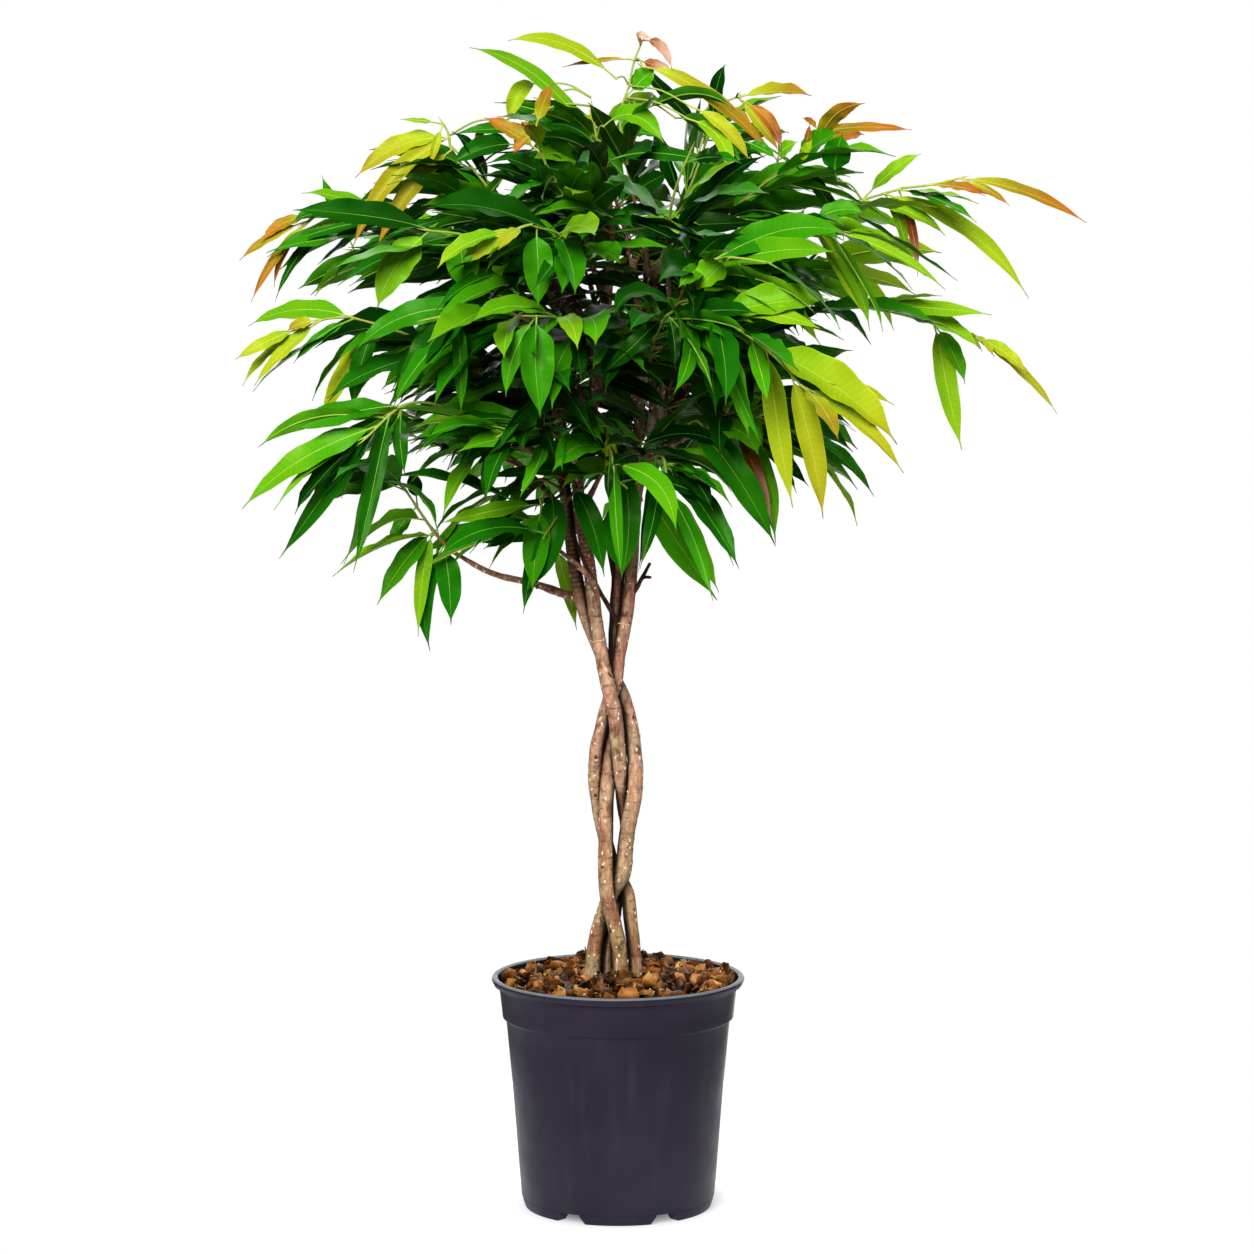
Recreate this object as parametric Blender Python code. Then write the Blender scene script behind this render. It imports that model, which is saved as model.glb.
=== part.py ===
"""Potted ficus: four stems braided into one trunk, a wide crown of long leaves, a round nursery pot.

Metres, +Z up. The front of the plant faces -Y. The origin is the middle of the pot's foot pad, on
the ground. Lengths in the tables are millimetres and are turned into metres where they are used.
"""
import math
import random

import bmesh
import bpy
import numpy as np
from mathutils import Vector
from mathutils.bvhtree import BVHTree

for old in list(bpy.data.objects):
    bpy.data.objects.remove(old, do_unlink=True)

# Driving dimensions. GAP is left where pieces touch, and ROOM where wood passes wood
MM = 0.001
GAP = 0.3 * MM
ROOM = 0.6 * MM
SEED = 11

# Pot and what fills it, in millimetres
POT_HEIGHT = 250
RIM_RADIUS = 135.3
LIP_RADIUS = 3
COLLAR = [(119.8, 203), (123.6, 208), (127.2, 238), (133.6, 240)]
LIP_INSIDE = 128
SHOULDER_INSIDE = (118, 203.5)
WALL_FOOT = 101.5
FLOOR_EDGE = 99.8
FLOOR_THICKNESS = 2
HOLE_RINGS = (70, 86)
FOOT_HEIGHT = 10
FOOT_REACH = 97.5
PAD_RADIUS = 20
POT_SEGMENTS = 48
FEET = 6
FOOT_SEGMENTS = 6
WALL_GAP = 0.4
SOIL_TOP = 238
MULCH_EDGE = 242
MULCH_TOP = 247
MULCH_CROWN = 250
CHIPS = 18

# Stems: each stands in a straight hole, and is made of pieces this long with this many sides
STEM_FOOT = 190 * MM
STEM_SIDES = 7
STEM_SPACING = 27 * MM
HOLE_SIDES = 8
HOLE_TOP = 270 * MM

# Limbs grow from short pieces of a stem. Their woody part has a few pieces, then comes the green twig
SOCKET_LENGTH = 8 * MM
SOCKET_SPACING = 15 * MM
WOOD_PIECES = 3
LIMB_SIDES = 4
LIMB_ROOT = 2.6 * MM
LIMB_ROOT_GAIN = 0.009
LIMB_JOINT = 2.3 * MM
TWIG_SIDES = 3
TWIG_END = 1.5 * MM
TIP_END = 1.2 * MM
BUD = 9 * MM

# Leaves stand in pairs on short pieces of a twig, between its first and its last stretch
NODE_LENGTH = 3 * MM
NODE_SPACING = 15 * MM
NODE_LEAVES = 2
FIRST_LEAF = 8 * MM
LAST_LEAF = 5 * MM
TIP_FIRST_LEAF = 5 * MM
TIP_LAST_LEAF = 3 * MM

# Form of a leaf: a stalk, then rings at these shares of its length, this full, with the edges up
PETIOLE = 11 * MM
STALK_WIDTH = 0.16
BLADE_RINGS = ((0.42, 1.0), (0.76, 0.62))
FOLD = 0.16
LEAF_THICKNESS = 1.6 * MM
LONGEST_LEAF = 190 * MM

# Ranges that a free leaf is drawn from: its size, then how it leaves its twig and how it droops
LEAF_LENGTH = (105 * MM, 165 * MM)
LEAF_WIDTH = (0.20, 0.28)
LEAF_SWING = (0.5, 1.3)
LEAF_LIFT = (-0.42, 0.43)
LEAF_OUTWARD = (0.1, 0.7)
LEAF_DROOP = (0.45, 1.15)
YOUNG_LENGTH = 0.62

# Tries at a leaf before it is left out, how far it stands off its twig, how straight its blade runs
# (as cosines of angles), and the crown's bounds
TRIES = 26
LEAST_SPLAY = 0.15
LEAST_TURN = 0.65
CROWN_LOW = 0.600
CROWN_TOP = 1.250
CROWN_REACH = 0.400
CROWN_EDGE = 0.330

# The view that the crown was laid out in: a camera in front of the plant, a little above its middle
VIEW_FOCAL = 4259.0
VIEW_MIDDLE = 627.0
VIEW_DISTANCE = 4.5
VIEW_HEIGHT = 1.10
VIEW_SIDE = 9.6 * MM
VIEW_PITCH = math.radians(6.025)

# Faces that meet at less than this angle are shaded as one round surface
ROUND_ANGLE = math.radians(60)
POT_ANGLE = math.radians(35)

COLOURS = {
    "pot": ((0.020, 0.018, 0.024), 0.45),
    "soil": ((0.035, 0.022, 0.014), 0.95),
    "mulch": ((0.240, 0.105, 0.040), 0.85),
    "bark": ((0.230, 0.150, 0.110), 0.80),
    "leaf_mature": ((0.020, 0.180, 0.015), 0.35),
    "leaf_young": ((0.330, 0.420, 0.020), 0.35),
    "leaf_copper": ((0.380, 0.130, 0.030), 0.40),
}

# Centre line of each stem: across, to the back, and up, in millimetres
STEMS = {
    "stem_a": dict(foot=8.8, middle=7.3, top=4.5, line=[
        (3, -9, 257), (0, -11, 290), (-10, -11, 335), (-13, -7, 385), (-12, -4, 443),
        (-8, 8, 505), (-3, 22, 562), (-3, 20, 609), (0, 13, 672), (3, 15, 716),
        (11, 22, 759), (19, 32, 811), (24, 40, 864), (26, 46, 915), (30, 50, 968)]),
    "stem_b": dict(foot=7.6, middle=7.2, top=4.5, line=[
        (-11, 9, 254), (-8, 13, 290), (0, 20, 333), (10, 10, 400), (6, -3, 448),
        (0, -13, 500), (-5, -17, 544), (-15, -14, 587), (-23, -9, 632), (-31, -8, 695),
        (-40, -9, 745), (-41, -12, 800), (-27, -16, 857), (-15, -20, 909), (-9, -20, 1000)]),
    "stem_c": dict(foot=9.0, middle=7.8, top=4.8, line=[
        (-27, -3, 258), (-24, -1, 285), (-11, 6, 330), (4, 2, 364), (10, -6, 411),
        (17, -8, 468), (13, 1, 520), (-4, 5, 570), (-28, 6, 621), (-43, 4, 672),
        (-52, 6, 738), (-61, 8, 820), (-56, 10, 866), (-49, 12, 918), (-42, 14, 960)]),
    "stem_d": dict(foot=7.6, middle=7.0, top=4.2, line=[
        (18, 0, 258), (15, 3, 295), (7, 14, 339), (-12, 9, 390), (-22, 5, 445),
        (-21, 1, 498), (-9, -6, 548), (2, -3, 600), (11, 2, 650), (16, 2, 705),
        (20, -5, 765), (33, -10, 814), (49, -16, 867), (62, -22, 925), (68, -24, 948)]),
}

# Limbs that carry leaves. Each has the stem it grows from and the height of its root, or no height
# where it is the stem's own top. Then come the points it passes in the view with their depth behind
# the trunk in millimetres, the bare share of its length, the number of leaves on it, and its marked
# leaves: base across and down, tip across and down, width
SPRAYS = {
    "low_left": dict(stem="stem_c", root=655, bare=0.62, leaves=8, path=[
        (512, 578, -16), (473, 566, -30), (440, 539, -45), (400, 482, -60)], marked=[
        (430, 530, 377, 605, 26), (436, 536, 418, 637, 18), (443, 543, 430, 652, 23),
        (458, 553, 451, 625, 29), (441, 520, 409, 473, 18), (402, 486, 389, 545, 19)]),
    "left_low": dict(stem="stem_c", root=800, bare=0.45, leaves=8, path=[
        (520, 445, -40), (455, 405, -80), (405, 405, -100), (364, 440, -112)], marked=[
        (389, 406, 283, 427, 31), (375, 425, 241, 508, 33), (362, 440, 279, 559, 24),
        (391, 410, 344, 569, 29), (385, 418, 354, 572, 24), (410, 404, 405, 475, 18),
        (364, 440, 274, 510, 12)]),
    "left_mid": dict(stem="stem_c", root=850, bare=0.45, leaves=8, path=[
        (500, 385, -10), (440, 350, -20), (395, 330, -20), (350, 317, -20)], marked=[
        (365, 320, 318, 428, 23), (351, 317, 293, 363, 14), (385, 330, 352, 411, 24)]),
    "left_up": dict(stem="stem_c", root=900, bare=0.40, leaves=8, path=[
        (520, 300, 10), (440, 245, 30), (380, 218, 40), (328, 213, 42)], marked=[
        (375, 222, 266, 255, 22), (350, 215, 292, 222, 18), (400, 225, 302, 192, 20),
        (335, 214, 274, 300, 16)]),
    "up_left": dict(stem="stem_c", root=None, bare=0.45, leaves=8, path=[
        (560, 290, -22), (505, 210, -40), (472, 168, -50), (450, 145, -54)], marked=[
        (452, 150, 375, 250, 22), (513, 215, 452, 131, 16), (470, 168, 393, 172, 18)]),
    "left_back": dict(stem="stem_c", root=875, bare=0.45, leaves=8, path=[
        (540, 310, 80), (450, 265, 150), (350, 250, 190)], marked=[
        (345, 256, 314, 296, 22), (352, 262, 322, 175, 15)]),
    "left_front": dict(stem="stem_b", root=840, bare=0.45, leaves=8, path=[
        (560, 350, -110), (500, 310, -180), (425, 320, -222)], marked=[
        (428, 322, 400, 402, 34), (488, 330, 461, 415, 17)]),
    "top_left": dict(stem="stem_b", root=None, bare=0.35, leaves=8, path=[
        (612, 215, -22), (600, 160, -28), (592, 106, -30)], marked=[
        (596, 118, 470, 47, 20), (600, 108, 510, 40, 16), (600, 160, 531, 128, 18)]),
    "top": dict(stem="stem_a", root=None, bare=0.35, leaves=8, path=[
        (645, 250, 25), (630, 180, 12), (620, 120, 4), (629, 86, 0)], marked=[
        (625, 100, 655, 68, 28), (612, 130, 661, 139, 24), (622, 140, 576, 119, 15)]),
    "top_right": dict(stem="stem_a", root=948, bare=0.40, leaves=8, path=[
        (668, 240, 30), (695, 175, 42), (712, 122, 46)], marked=[
        (711, 118, 638, 62, 18), (700, 135, 765, 157, 19), (705, 126, 725, 64, 18)]),
    "top_front": dict(stem="stem_b", root=960, bare=0.40, leaves=8, path=[
        (592, 265, -70), (568, 205, -120), (545, 162, -155)], marked=[
        (575, 190, 503, 157, 24), (548, 165, 596, 166, 18)]),
    "top_front_right": dict(stem="stem_d", root=905, bare=0.40, leaves=6, path=[
        (668, 270, -60), (672, 200, -115), (692, 148, -150)], marked=[
        (665, 165, 724, 158, 22), (692, 148, 745, 165, 20)]),
    "top_back": dict(stem="stem_a", root=940, bare=0.45, leaves=8, path=[
        (625, 230, 80), (603, 165, 140), (590, 112, 182)], marked=[]),
    "top_back_right": dict(stem="stem_a", root=925, bare=0.45, leaves=8, path=[
        (668, 240, 100), (690, 180, 150), (705, 132, 192)], marked=[]),
    "right_up": dict(stem="stem_d", root=925, bare=0.45, leaves=8, path=[
        (700, 255, 15), (750, 195, 5), (812, 152, 0)], marked=[
        (800, 165, 838, 132, 31), (790, 170, 845, 240, 18)]),
    "right": dict(stem="stem_d", root=None, bare=0.45, leaves=8, path=[
        (725, 290, -18), (795, 235, -18), (850, 205, -20), (903, 188, -20)], marked=[
        (857, 203, 920, 153, 18), (900, 188, 1030, 297, 22), (870, 200, 946, 234, 19),
        (880, 197, 907, 255, 15), (903, 188, 918, 277, 11)]),
    "right_mid": dict(stem="stem_d", root=865, bare=0.45, leaves=8, path=[
        (725, 345, 0), (800, 312, 10), (870, 308, 15), (942, 326, 20)], marked=[
        (889, 309, 991, 314, 27), (829, 303, 924, 311, 18), (932, 324, 966, 384, 20),
        (942, 326, 962, 450, 26)]),
    "right_front_low": dict(stem="stem_d", root=850, bare=0.42, leaves=8, path=[
        (668, 335, -100), (684, 300, -180), (720, 318, -225), (757, 342, -242)], marked=[
        (718, 316, 829, 298, 40), (708, 314, 762, 447, 24), (690, 310, 735, 373, 22)]),
    "right_low": dict(stem="stem_d", root=800, bare=0.45, leaves=8, path=[
        (690, 435, -50), (735, 420, -85), (800, 428, -100)], marked=[
        (700, 425, 776, 543, 28), (760, 425, 773, 526, 16), (800, 428, 875, 495, 18),
        (780, 425, 833, 466, 12)]),
    "right_back": dict(stem="stem_a", root=880, bare=0.45, leaves=8, path=[
        (735, 300, 110), (795, 270, 165), (850, 258, 200)], marked=[
        (850, 262, 895, 330, 18)]),
    "right_low_back": dict(stem="stem_d", root=800, bare=0.45, leaves=6, path=[
        (695, 425, 110), (770, 410, 195)], marked=[]),
    "right_front": dict(stem="stem_d", root=880, bare=0.45, leaves=8, path=[
        (680, 300, -120), (715, 260, -190), (765, 262, -228)], marked=[
        (745, 258, 800, 335, 24), (720, 262, 694, 293, 36)]),
    "right_second": dict(stem="stem_d", root=915, bare=0.45, leaves=8, path=[
        (735, 270, -60), (790, 225, -95), (840, 232, -115)], marked=[
        (838, 240, 946, 289, 14), (817, 226, 864, 212, 22), (800, 226, 871, 330, 20)]),
    "front_high": dict(stem="stem_b", root=900, bare=0.45, leaves=8, path=[
        (592, 290, -110), (566, 240, -200), (530, 225, -262)], marked=[
        (524, 226, 480, 323, 29), (541, 228, 538, 308, 33)]),
    "front_middle": dict(stem="stem_b", root=860, bare=0.42, leaves=8, path=[
        (590, 350, -130), (562, 320, -210), (525, 316, -272)], marked=[
        (521, 318, 541, 418, 39), (545, 320, 505, 398, 22)]),
    "front_right": dict(stem="stem_d", root=830, bare=0.42, leaves=8, path=[
        (650, 360, -120), (662, 322, -190), (672, 312, -240)], marked=[
        (664, 316, 601, 375, 22), (672, 314, 675, 368, 14)]),
    "front_low_left": dict(stem="stem_b", root=780, bare=0.45, leaves=8, path=[
        (568, 445, -90), (528, 425, -145), (492, 440, -176)], marked=[
        (520, 426, 484, 501, 22), (500, 436, 440, 478, 20)]),
    "front_low": dict(stem="stem_b", root=742, bare=0.45, leaves=6, path=[
        (603, 470, -70), (610, 450, -120), (614, 468, -165)], marked=[
        (613, 470, 622, 580, 23), (610, 452, 608, 500, 14)]),
    "front_low_right": dict(stem="stem_d", root=760, bare=0.42, leaves=8, path=[
        (642, 470, -50), (662, 455, -95), (668, 492, -128)], marked=[
        (664, 498, 720, 592, 24), (655, 500, 712, 600, 23), (650, 480, 639, 573, 18),
        (668, 460, 677, 512, 26)]),
    "low_front_left": dict(stem="stem_b", root=640, bare=0.55, leaves=6, path=[
        (592, 580, -30), (551, 541, -55), (540, 500, -85)], marked=[
        (540, 506, 532, 592, 31), (545, 515, 483, 549, 20), (543, 502, 439, 523, 22),
        (551, 535, 523, 614, 19)]),
    "back_high": dict(stem="stem_a", root=910, bare=0.45, leaves=8, path=[
        (632, 255, 150), (622, 200, 300)], marked=[]),
    "back_left": dict(stem="stem_c", root=905, bare=0.45, leaves=8, path=[
        (545, 275, 150), (480, 235, 275)], marked=[]),
    "back_right": dict(stem="stem_a", root=865, bare=0.45, leaves=8, path=[
        (690, 280, 160), (745, 235, 280)], marked=[]),
    "back_middle": dict(stem="stem_a", root=835, bare=0.45, leaves=6, path=[
        (618, 350, 200), (592, 335, 325)], marked=[]),
    "back_left_middle": dict(stem="stem_c", root=830, bare=0.45, leaves=6, path=[
        (520, 370, 150), (440, 345, 258)], marked=[]),
    "back_right_middle": dict(stem="stem_a", root=820, bare=0.45, leaves=6, path=[
        (680, 365, 170), (725, 345, 280)], marked=[]),
    "back_low_left": dict(stem="stem_c", root=770, bare=0.45, leaves=6, path=[
        (545, 460, 110), (500, 442, 200)], marked=[]),
    "back_low_right": dict(stem="stem_a", root=765, bare=0.45, leaves=6, path=[
        (655, 455, 120), (685, 442, 205)], marked=[]),
    "back_low": dict(stem="stem_a", root=742, bare=0.45, leaves=6, path=[
        (612, 475, 120), (600, 455, 235)], marked=[]),
    "left_front_high": dict(stem="stem_b", root=920, bare=0.45, leaves=8, path=[
        (545, 290, -85), (475, 240, -140), (425, 230, -168)], marked=[
        (428, 234, 376, 309, 39), (450, 236, 337, 285, 28), (470, 240, 470, 292, 38)]),
    "left_low_back": dict(stem="stem_c", root=740, bare=0.45, leaves=6, path=[
        (500, 450, 60), (400, 412, 120)], marked=[]),
}

# Growing tips in their young colours, each on the end of the spray it is named for
TIPS = {
    "left_mid": dict(colour="leaf_young", leaves=4, path=[(322, 320, -22), (298, 331, -22)], marked=[
        (298, 331, 235, 359, 17), (304, 330, 241, 385, 15), (312, 326, 253, 385, 17),
        (330, 320, 287, 331, 17)]),
    "left_up": dict(colour="leaf_copper", leaves=4, path=[(318, 215, 43), (303, 224, 44)], marked=[
        (312, 217, 261, 242, 16), (304, 224, 239, 260, 14), (310, 220, 250, 302, 12),
        (304, 224, 273, 287, 9)]),
    "up_left": dict(colour="leaf_young", leaves=4, path=[(448, 132, -55), (442, 122, -56)], marked=[
        (449, 138, 355, 178, 26), (449, 136, 350, 252, 23), (443, 124, 430, 166, 10),
        (442, 122, 400, 119, 8)]),
    "top": dict(colour="leaf_copper", leaves=3, path=[(634, 62, 0), (641, 44, 0)], marked=[
        (640, 46, 673, 70, 14), (634, 60, 562, 66, 7), (641, 44, 648, 33, 10)]),
    "top_right": dict(colour="leaf_copper", leaves=4, path=[(722, 104, 47), (740, 96, 48)], marked=[
        (740, 97, 780, 152, 15), (730, 98, 752, 130, 12), (722, 104, 714, 86, 9)]),
    "right_up": dict(colour="leaf_copper", leaves=3, path=[(820, 136, 0), (824, 124, 0)], marked=[
        (823, 125, 912, 130, 14), (818, 138, 803, 118, 9)]),
    "right": dict(colour="leaf_copper", leaves=3, path=[(935, 184, -20), (968, 176, -20)], marked=[
        (968, 176, 1087, 223, 16), (955, 178, 1010, 205, 10)]),
    "right_mid": dict(colour="leaf_young", leaves=3, path=[(965, 331, 20), (986, 342, 20)], marked=[
        (965, 330, 1028, 374, 17), (986, 342, 1058, 413, 14)]),
    "right_front_low": dict(colour="leaf_young", leaves=5, path=[
        (780, 362, -250), (803, 388, -258)], marked=[
        (768, 350, 899, 442, 46), (764, 348, 793, 508, 27), (800, 385, 824, 519, 28),
        (803, 388, 904, 473, 20), (780, 362, 895, 404, 17)]),
    "top_front": dict(colour="leaf_copper", leaves=3, path=[(538, 145, -158), (533, 130, -160)], marked=[
        (533, 132, 513, 154, 12), (534, 130, 552, 84, 18)]),
    "front_high": dict(colour="leaf_young", leaves=3, path=[(518, 228, -272), (508, 234, -280)], marked=[
        (510, 232, 470, 262, 18)]),
}


def seen(across, down, depth_mm):
    """The point at this place in the view, at this depth behind the trunk."""
    u = (across - VIEW_MIDDLE) / VIEW_FOCAL
    v = (down - VIEW_MIDDLE) / VIEW_FOCAL
    forward = math.cos(VIEW_PITCH) - v * math.sin(VIEW_PITCH)
    upward = -math.sin(VIEW_PITCH) - v * math.cos(VIEW_PITCH)
    reach = (depth_mm * MM + VIEW_DISTANCE) / forward
    return Vector((VIEW_SIDE + u * reach, depth_mm * MM, VIEW_HEIGHT + upward * reach))


def material(name):
    made = bpy.data.materials.get(name)
    if made:
        return made
    colour, roughness = COLOURS[name]
    made = bpy.data.materials.new(name)
    made.use_nodes = True
    shader = made.node_tree.nodes["Principled BSDF"]
    shader.inputs["Base Color"].default_value = (*colour, 1.0)
    shader.inputs["Roughness"].default_value = roughness
    shader.inputs["Metallic"].default_value = 0.0
    made.diffuse_color = (*colour, 1.0)
    return made


def solid(name, points, faces, finish, smooth=False):
    """A mesh object with its faces turned outward, shaded smooth where the piece is round."""
    mesh = bpy.data.meshes.new(name)
    mesh.from_pydata([tuple(p) for p in points], [], faces)
    work = bmesh.new()
    work.from_mesh(mesh)
    bmesh.ops.triangulate(work, faces=work.faces)
    bmesh.ops.recalc_face_normals(work, faces=work.faces)
    if work.calc_volume(signed=True) < 0:
        bmesh.ops.reverse_faces(work, faces=work.faces)
    work.to_mesh(mesh)
    work.free()
    mesh.materials.append(material(finish))
    if smooth:
        mesh.shade_smooth()
        mesh.set_sharp_from_angle(angle=ROUND_ANGLE)
    made = bpy.data.objects.new(name, mesh)
    bpy.context.scene.collection.objects.link(made)
    return made


def boolean(target, cutters, operation):
    """Joins the cutters to the target, or cuts them from it, and removes them."""
    group = bpy.data.collections.new(target.name + "_tools")
    for cutter in cutters:
        group.objects.link(cutter)
    step = target.modifiers.new(operation.lower(), "BOOLEAN")
    step.operation = operation
    step.operand_type = "COLLECTION"
    step.collection = group
    step.solver = "EXACT"
    bpy.context.view_layer.update()
    depsgraph = bpy.context.evaluated_depsgraph_get()
    finished = bpy.data.meshes.new_from_object(target.evaluated_get(depsgraph))
    target.modifiers.remove(step)
    target.data = finished
    for cutter in cutters:
        bpy.data.objects.remove(cutter, do_unlink=True)
    bpy.data.collections.remove(group)


def arc(centre, radius, start, end, count):
    """Profile points on an arc, angles in degrees from the outward direction."""
    points = []
    for step in range(count):
        angle = math.radians(start + (end - start) * step / (count - 1))
        points.append((centre[0] + radius * math.cos(angle), centre[1] + radius * math.sin(angle)))
    return points


def inner_radius(height):
    """Radius of the pot's inside at a height, in millimetres."""
    profile = [(FLOOR_EDGE, FOOT_HEIGHT + FLOOR_THICKNESS), SHOULDER_INSIDE, (LIP_INSIDE, POT_HEIGHT)]
    for (r0, z0), (r1, z1) in zip(profile, profile[1:]):
        if z0 <= height <= z1:
            return r0 + (r1 - r0) * (height - z0) / (z1 - z0)
    return profile[-1][0]


def turned(profile, segments):
    """Vertices and faces of a turned solid whose profile starts and ends on the axis."""
    points = [Vector((0, 0, profile[0][1] * MM))]
    for radius, height in profile[1:-1]:
        for step in range(segments):
            angle = 2 * math.pi * step / segments
            points.append(Vector((math.cos(angle), math.sin(angle), 0)) * radius * MM)
            points[-1].z = height * MM
    points.append(Vector((0, 0, profile[-1][1] * MM)))
    faces = []
    rings = len(profile) - 2
    last = len(points) - 1
    for step in range(segments):
        following = (step + 1) % segments
        faces.append((0, 1 + following, 1 + step))
        for ring in range(rings - 1):
            a = 1 + ring * segments
            b = a + segments
            faces.append((a + step, a + following, b + following, b + step))
        a = 1 + (rings - 1) * segments
        faces.append((a + step, a + following, last))
    return points, faces


def is_foot(step):
    """True where a pot segment has a foot. One foot's middle faces the front."""
    period = POT_SEGMENTS // FEET
    front = POT_SEGMENTS * 3 // 4 - FOOT_SEGMENTS // 2
    return (step - front) % period < FOOT_SEGMENTS


def build_pot():
    """The pot: a turned wall with a rolled lip, drain holes in the floor, and feet under the wall."""
    underside = FOOT_HEIGHT
    top = underside + FLOOR_THICKNESS
    profile = [(0, underside), (PAD_RADIUS, underside)]
    profile += [(r, underside) for r in HOLE_RINGS] + [(WALL_FOOT, underside)]
    profile += COLLAR + arc((RIM_RADIUS - LIP_RADIUS, POT_HEIGHT - LIP_RADIUS), LIP_RADIUS, 0, 90, 3)
    profile += [(LIP_INSIDE, POT_HEIGHT), SHOULDER_INSIDE, (FLOOR_EDGE, top)]
    profile += [(r, top) for r in HOLE_RINGS[::-1]] + [(0, top)]
    points, faces = turned(profile, POT_SEGMENTS)
    work = bmesh.new()
    verts = [work.verts.new(p) for p in points]
    for face in faces:
        work.faces.new([verts[i] for i in face])

    def ring(index):
        return [verts[1 + index * POT_SEGMENTS + s] for s in range(POT_SEGMENTS)]

    pad, low_in, low_out, edge = ring(0), ring(1), ring(2), ring(3)
    high_out, high_in = ring(len(profile) - 4), ring(len(profile) - 3)

    # Drain holes through the floor, one in each slot between two feet
    for step in range(POT_SEGMENTS):
        if is_foot(step):
            continue
        following = (step + 1) % POT_SEGMENTS
        for inner, outer in ((low_in, low_out), (high_in, high_out)):
            corner = [inner[step], inner[following], outer[following], outer[step]]
            face = next(f for f in corner[0].link_faces if set(f.verts) == set(corner))
            work.faces.remove(face)
        work.faces.new((low_in[step], low_in[following], high_in[following], high_in[step]))
        work.faces.new((low_out[step], low_out[following], high_out[following], high_out[step]))
        if is_foot((step - 1) % POT_SEGMENTS):
            work.faces.new((low_in[step], low_out[step], high_out[step], high_in[step]))
        if is_foot(following):
            work.faces.new((low_in[following], low_out[following], high_out[following], high_in[following]))

    bmesh.ops.delete(work, geom=[e for e in work.edges if e.is_wire], context="EDGES")

    # The pad in the middle and the feet under the wall
    centre = verts[0]
    pad_faces = list(centre.link_faces)
    foot_faces = []
    for step in range(POT_SEGMENTS):
        following = (step + 1) % POT_SEGMENTS
        corner = {low_out[step], low_out[following], edge[following], edge[step]}
        if is_foot(step):
            foot_faces.append(next(f for f in low_out[step].link_faces if set(f.verts) == corner))
    for region in (pad_faces, foot_faces):
        made = bmesh.ops.extrude_face_region(work, geom=region)
        for vert in [v for v in made["geom"] if isinstance(v, bmesh.types.BMVert)]:
            vert.co.z = 0.0
            reach = vert.co.xy.length
            if reach > FOOT_REACH * MM:
                vert.co.xy *= FOOT_REACH * MM / reach
    bmesh.ops.delete(work, geom=[f for f in pad_faces + foot_faces if f.is_valid], context="FACES")
    bmesh.ops.recalc_face_normals(work, faces=work.faces)
    mesh = bpy.data.meshes.new("pot")
    work.to_mesh(mesh)
    work.free()
    mesh.materials.append(material("pot"))
    mesh.shade_smooth()
    mesh.set_sharp_from_angle(angle=POT_ANGLE)
    bpy.context.scene.collection.objects.link(bpy.data.objects.new("pot", mesh))


def smooth_line(points, per_span=12):
    """A smooth curve through the points, as a dense list of points."""
    ends = [points[0] * 2 - points[1]] + list(points) + [points[-1] * 2 - points[-2]]
    line = []
    for a, b, c, d in zip(ends, ends[1:], ends[2:], ends[3:]):
        for step in range(per_span):
            t = step / per_span
            line.append(0.5 * (2 * b + (c - a) * t + (2 * a - 5 * b + 4 * c - d) * t * t
                               + (3 * b - a - 3 * c + d) * t ** 3))
    line.append(points[-1].copy())
    return line


def lengths(line):
    """Distance along the line at each of its points."""
    total = [0.0]
    for a, b in zip(line, line[1:]):
        total.append(total[-1] + (b - a).length)
    return total


def along(line, distance):
    """The point at this distance along the line."""
    total = lengths(line)
    for index in range(len(line) - 1):
        if distance <= total[index + 1]:
            share = (distance - total[index]) / max(total[index + 1] - total[index], 1e-9)
            return line[index].lerp(line[index + 1], share)
    return line[-1].copy()


def tangents(line):
    """The direction of the line at each of its points."""
    found = []
    for index in range(len(line)):
        before = line[max(index - 1, 0)]
        after = line[min(index + 1, len(line) - 1)]
        found.append((after - before).normalized())
    return found


def rings_along(line, directions, radii, sides, first_normal):
    """Rings of points round a line, each turned as little as possible from the one before."""
    rings = []
    normal = first_normal
    for centre, direction, radius in zip(line, directions, radii):
        normal = (normal - direction * normal.dot(direction)).normalized()
        across = direction.cross(normal)
        ring = []
        for step in range(sides):
            angle = 2 * math.pi * step / sides
            ring.append(centre + (normal * math.cos(angle) + across * math.sin(angle)) * radius)
        rings.append(ring)
    return rings


def tube(rings):
    """Points and triangles of a closed tube through the rings."""
    sides = len(rings[0])
    points = [p for ring in rings for p in ring]
    faces = [tuple(range(sides))[::-1]]
    for index in range(len(rings) - 1):
        a = index * sides
        b = a + sides
        for step in range(sides):
            following = (step + 1) % sides
            faces.append((a + step, a + following, b + following, b + step))
    faces.append(tuple(range(len(points) - sides, len(points))))
    return points, faces


class Line:
    """A run of straight pieces with a thickness, which other runs are kept clear of."""

    def __init__(self, name, points, radii, fixed, sideways, group=None, host=None):
        self.name = name
        self.group = group or name
        self.host = host
        self.points = np.array([tuple(p) for p in points])
        self.radii = np.array(radii)
        self.fixed = fixed
        self.sideways = sideways
        self.sockets = []
        self.leaves = []
        self.leader = False


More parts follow.
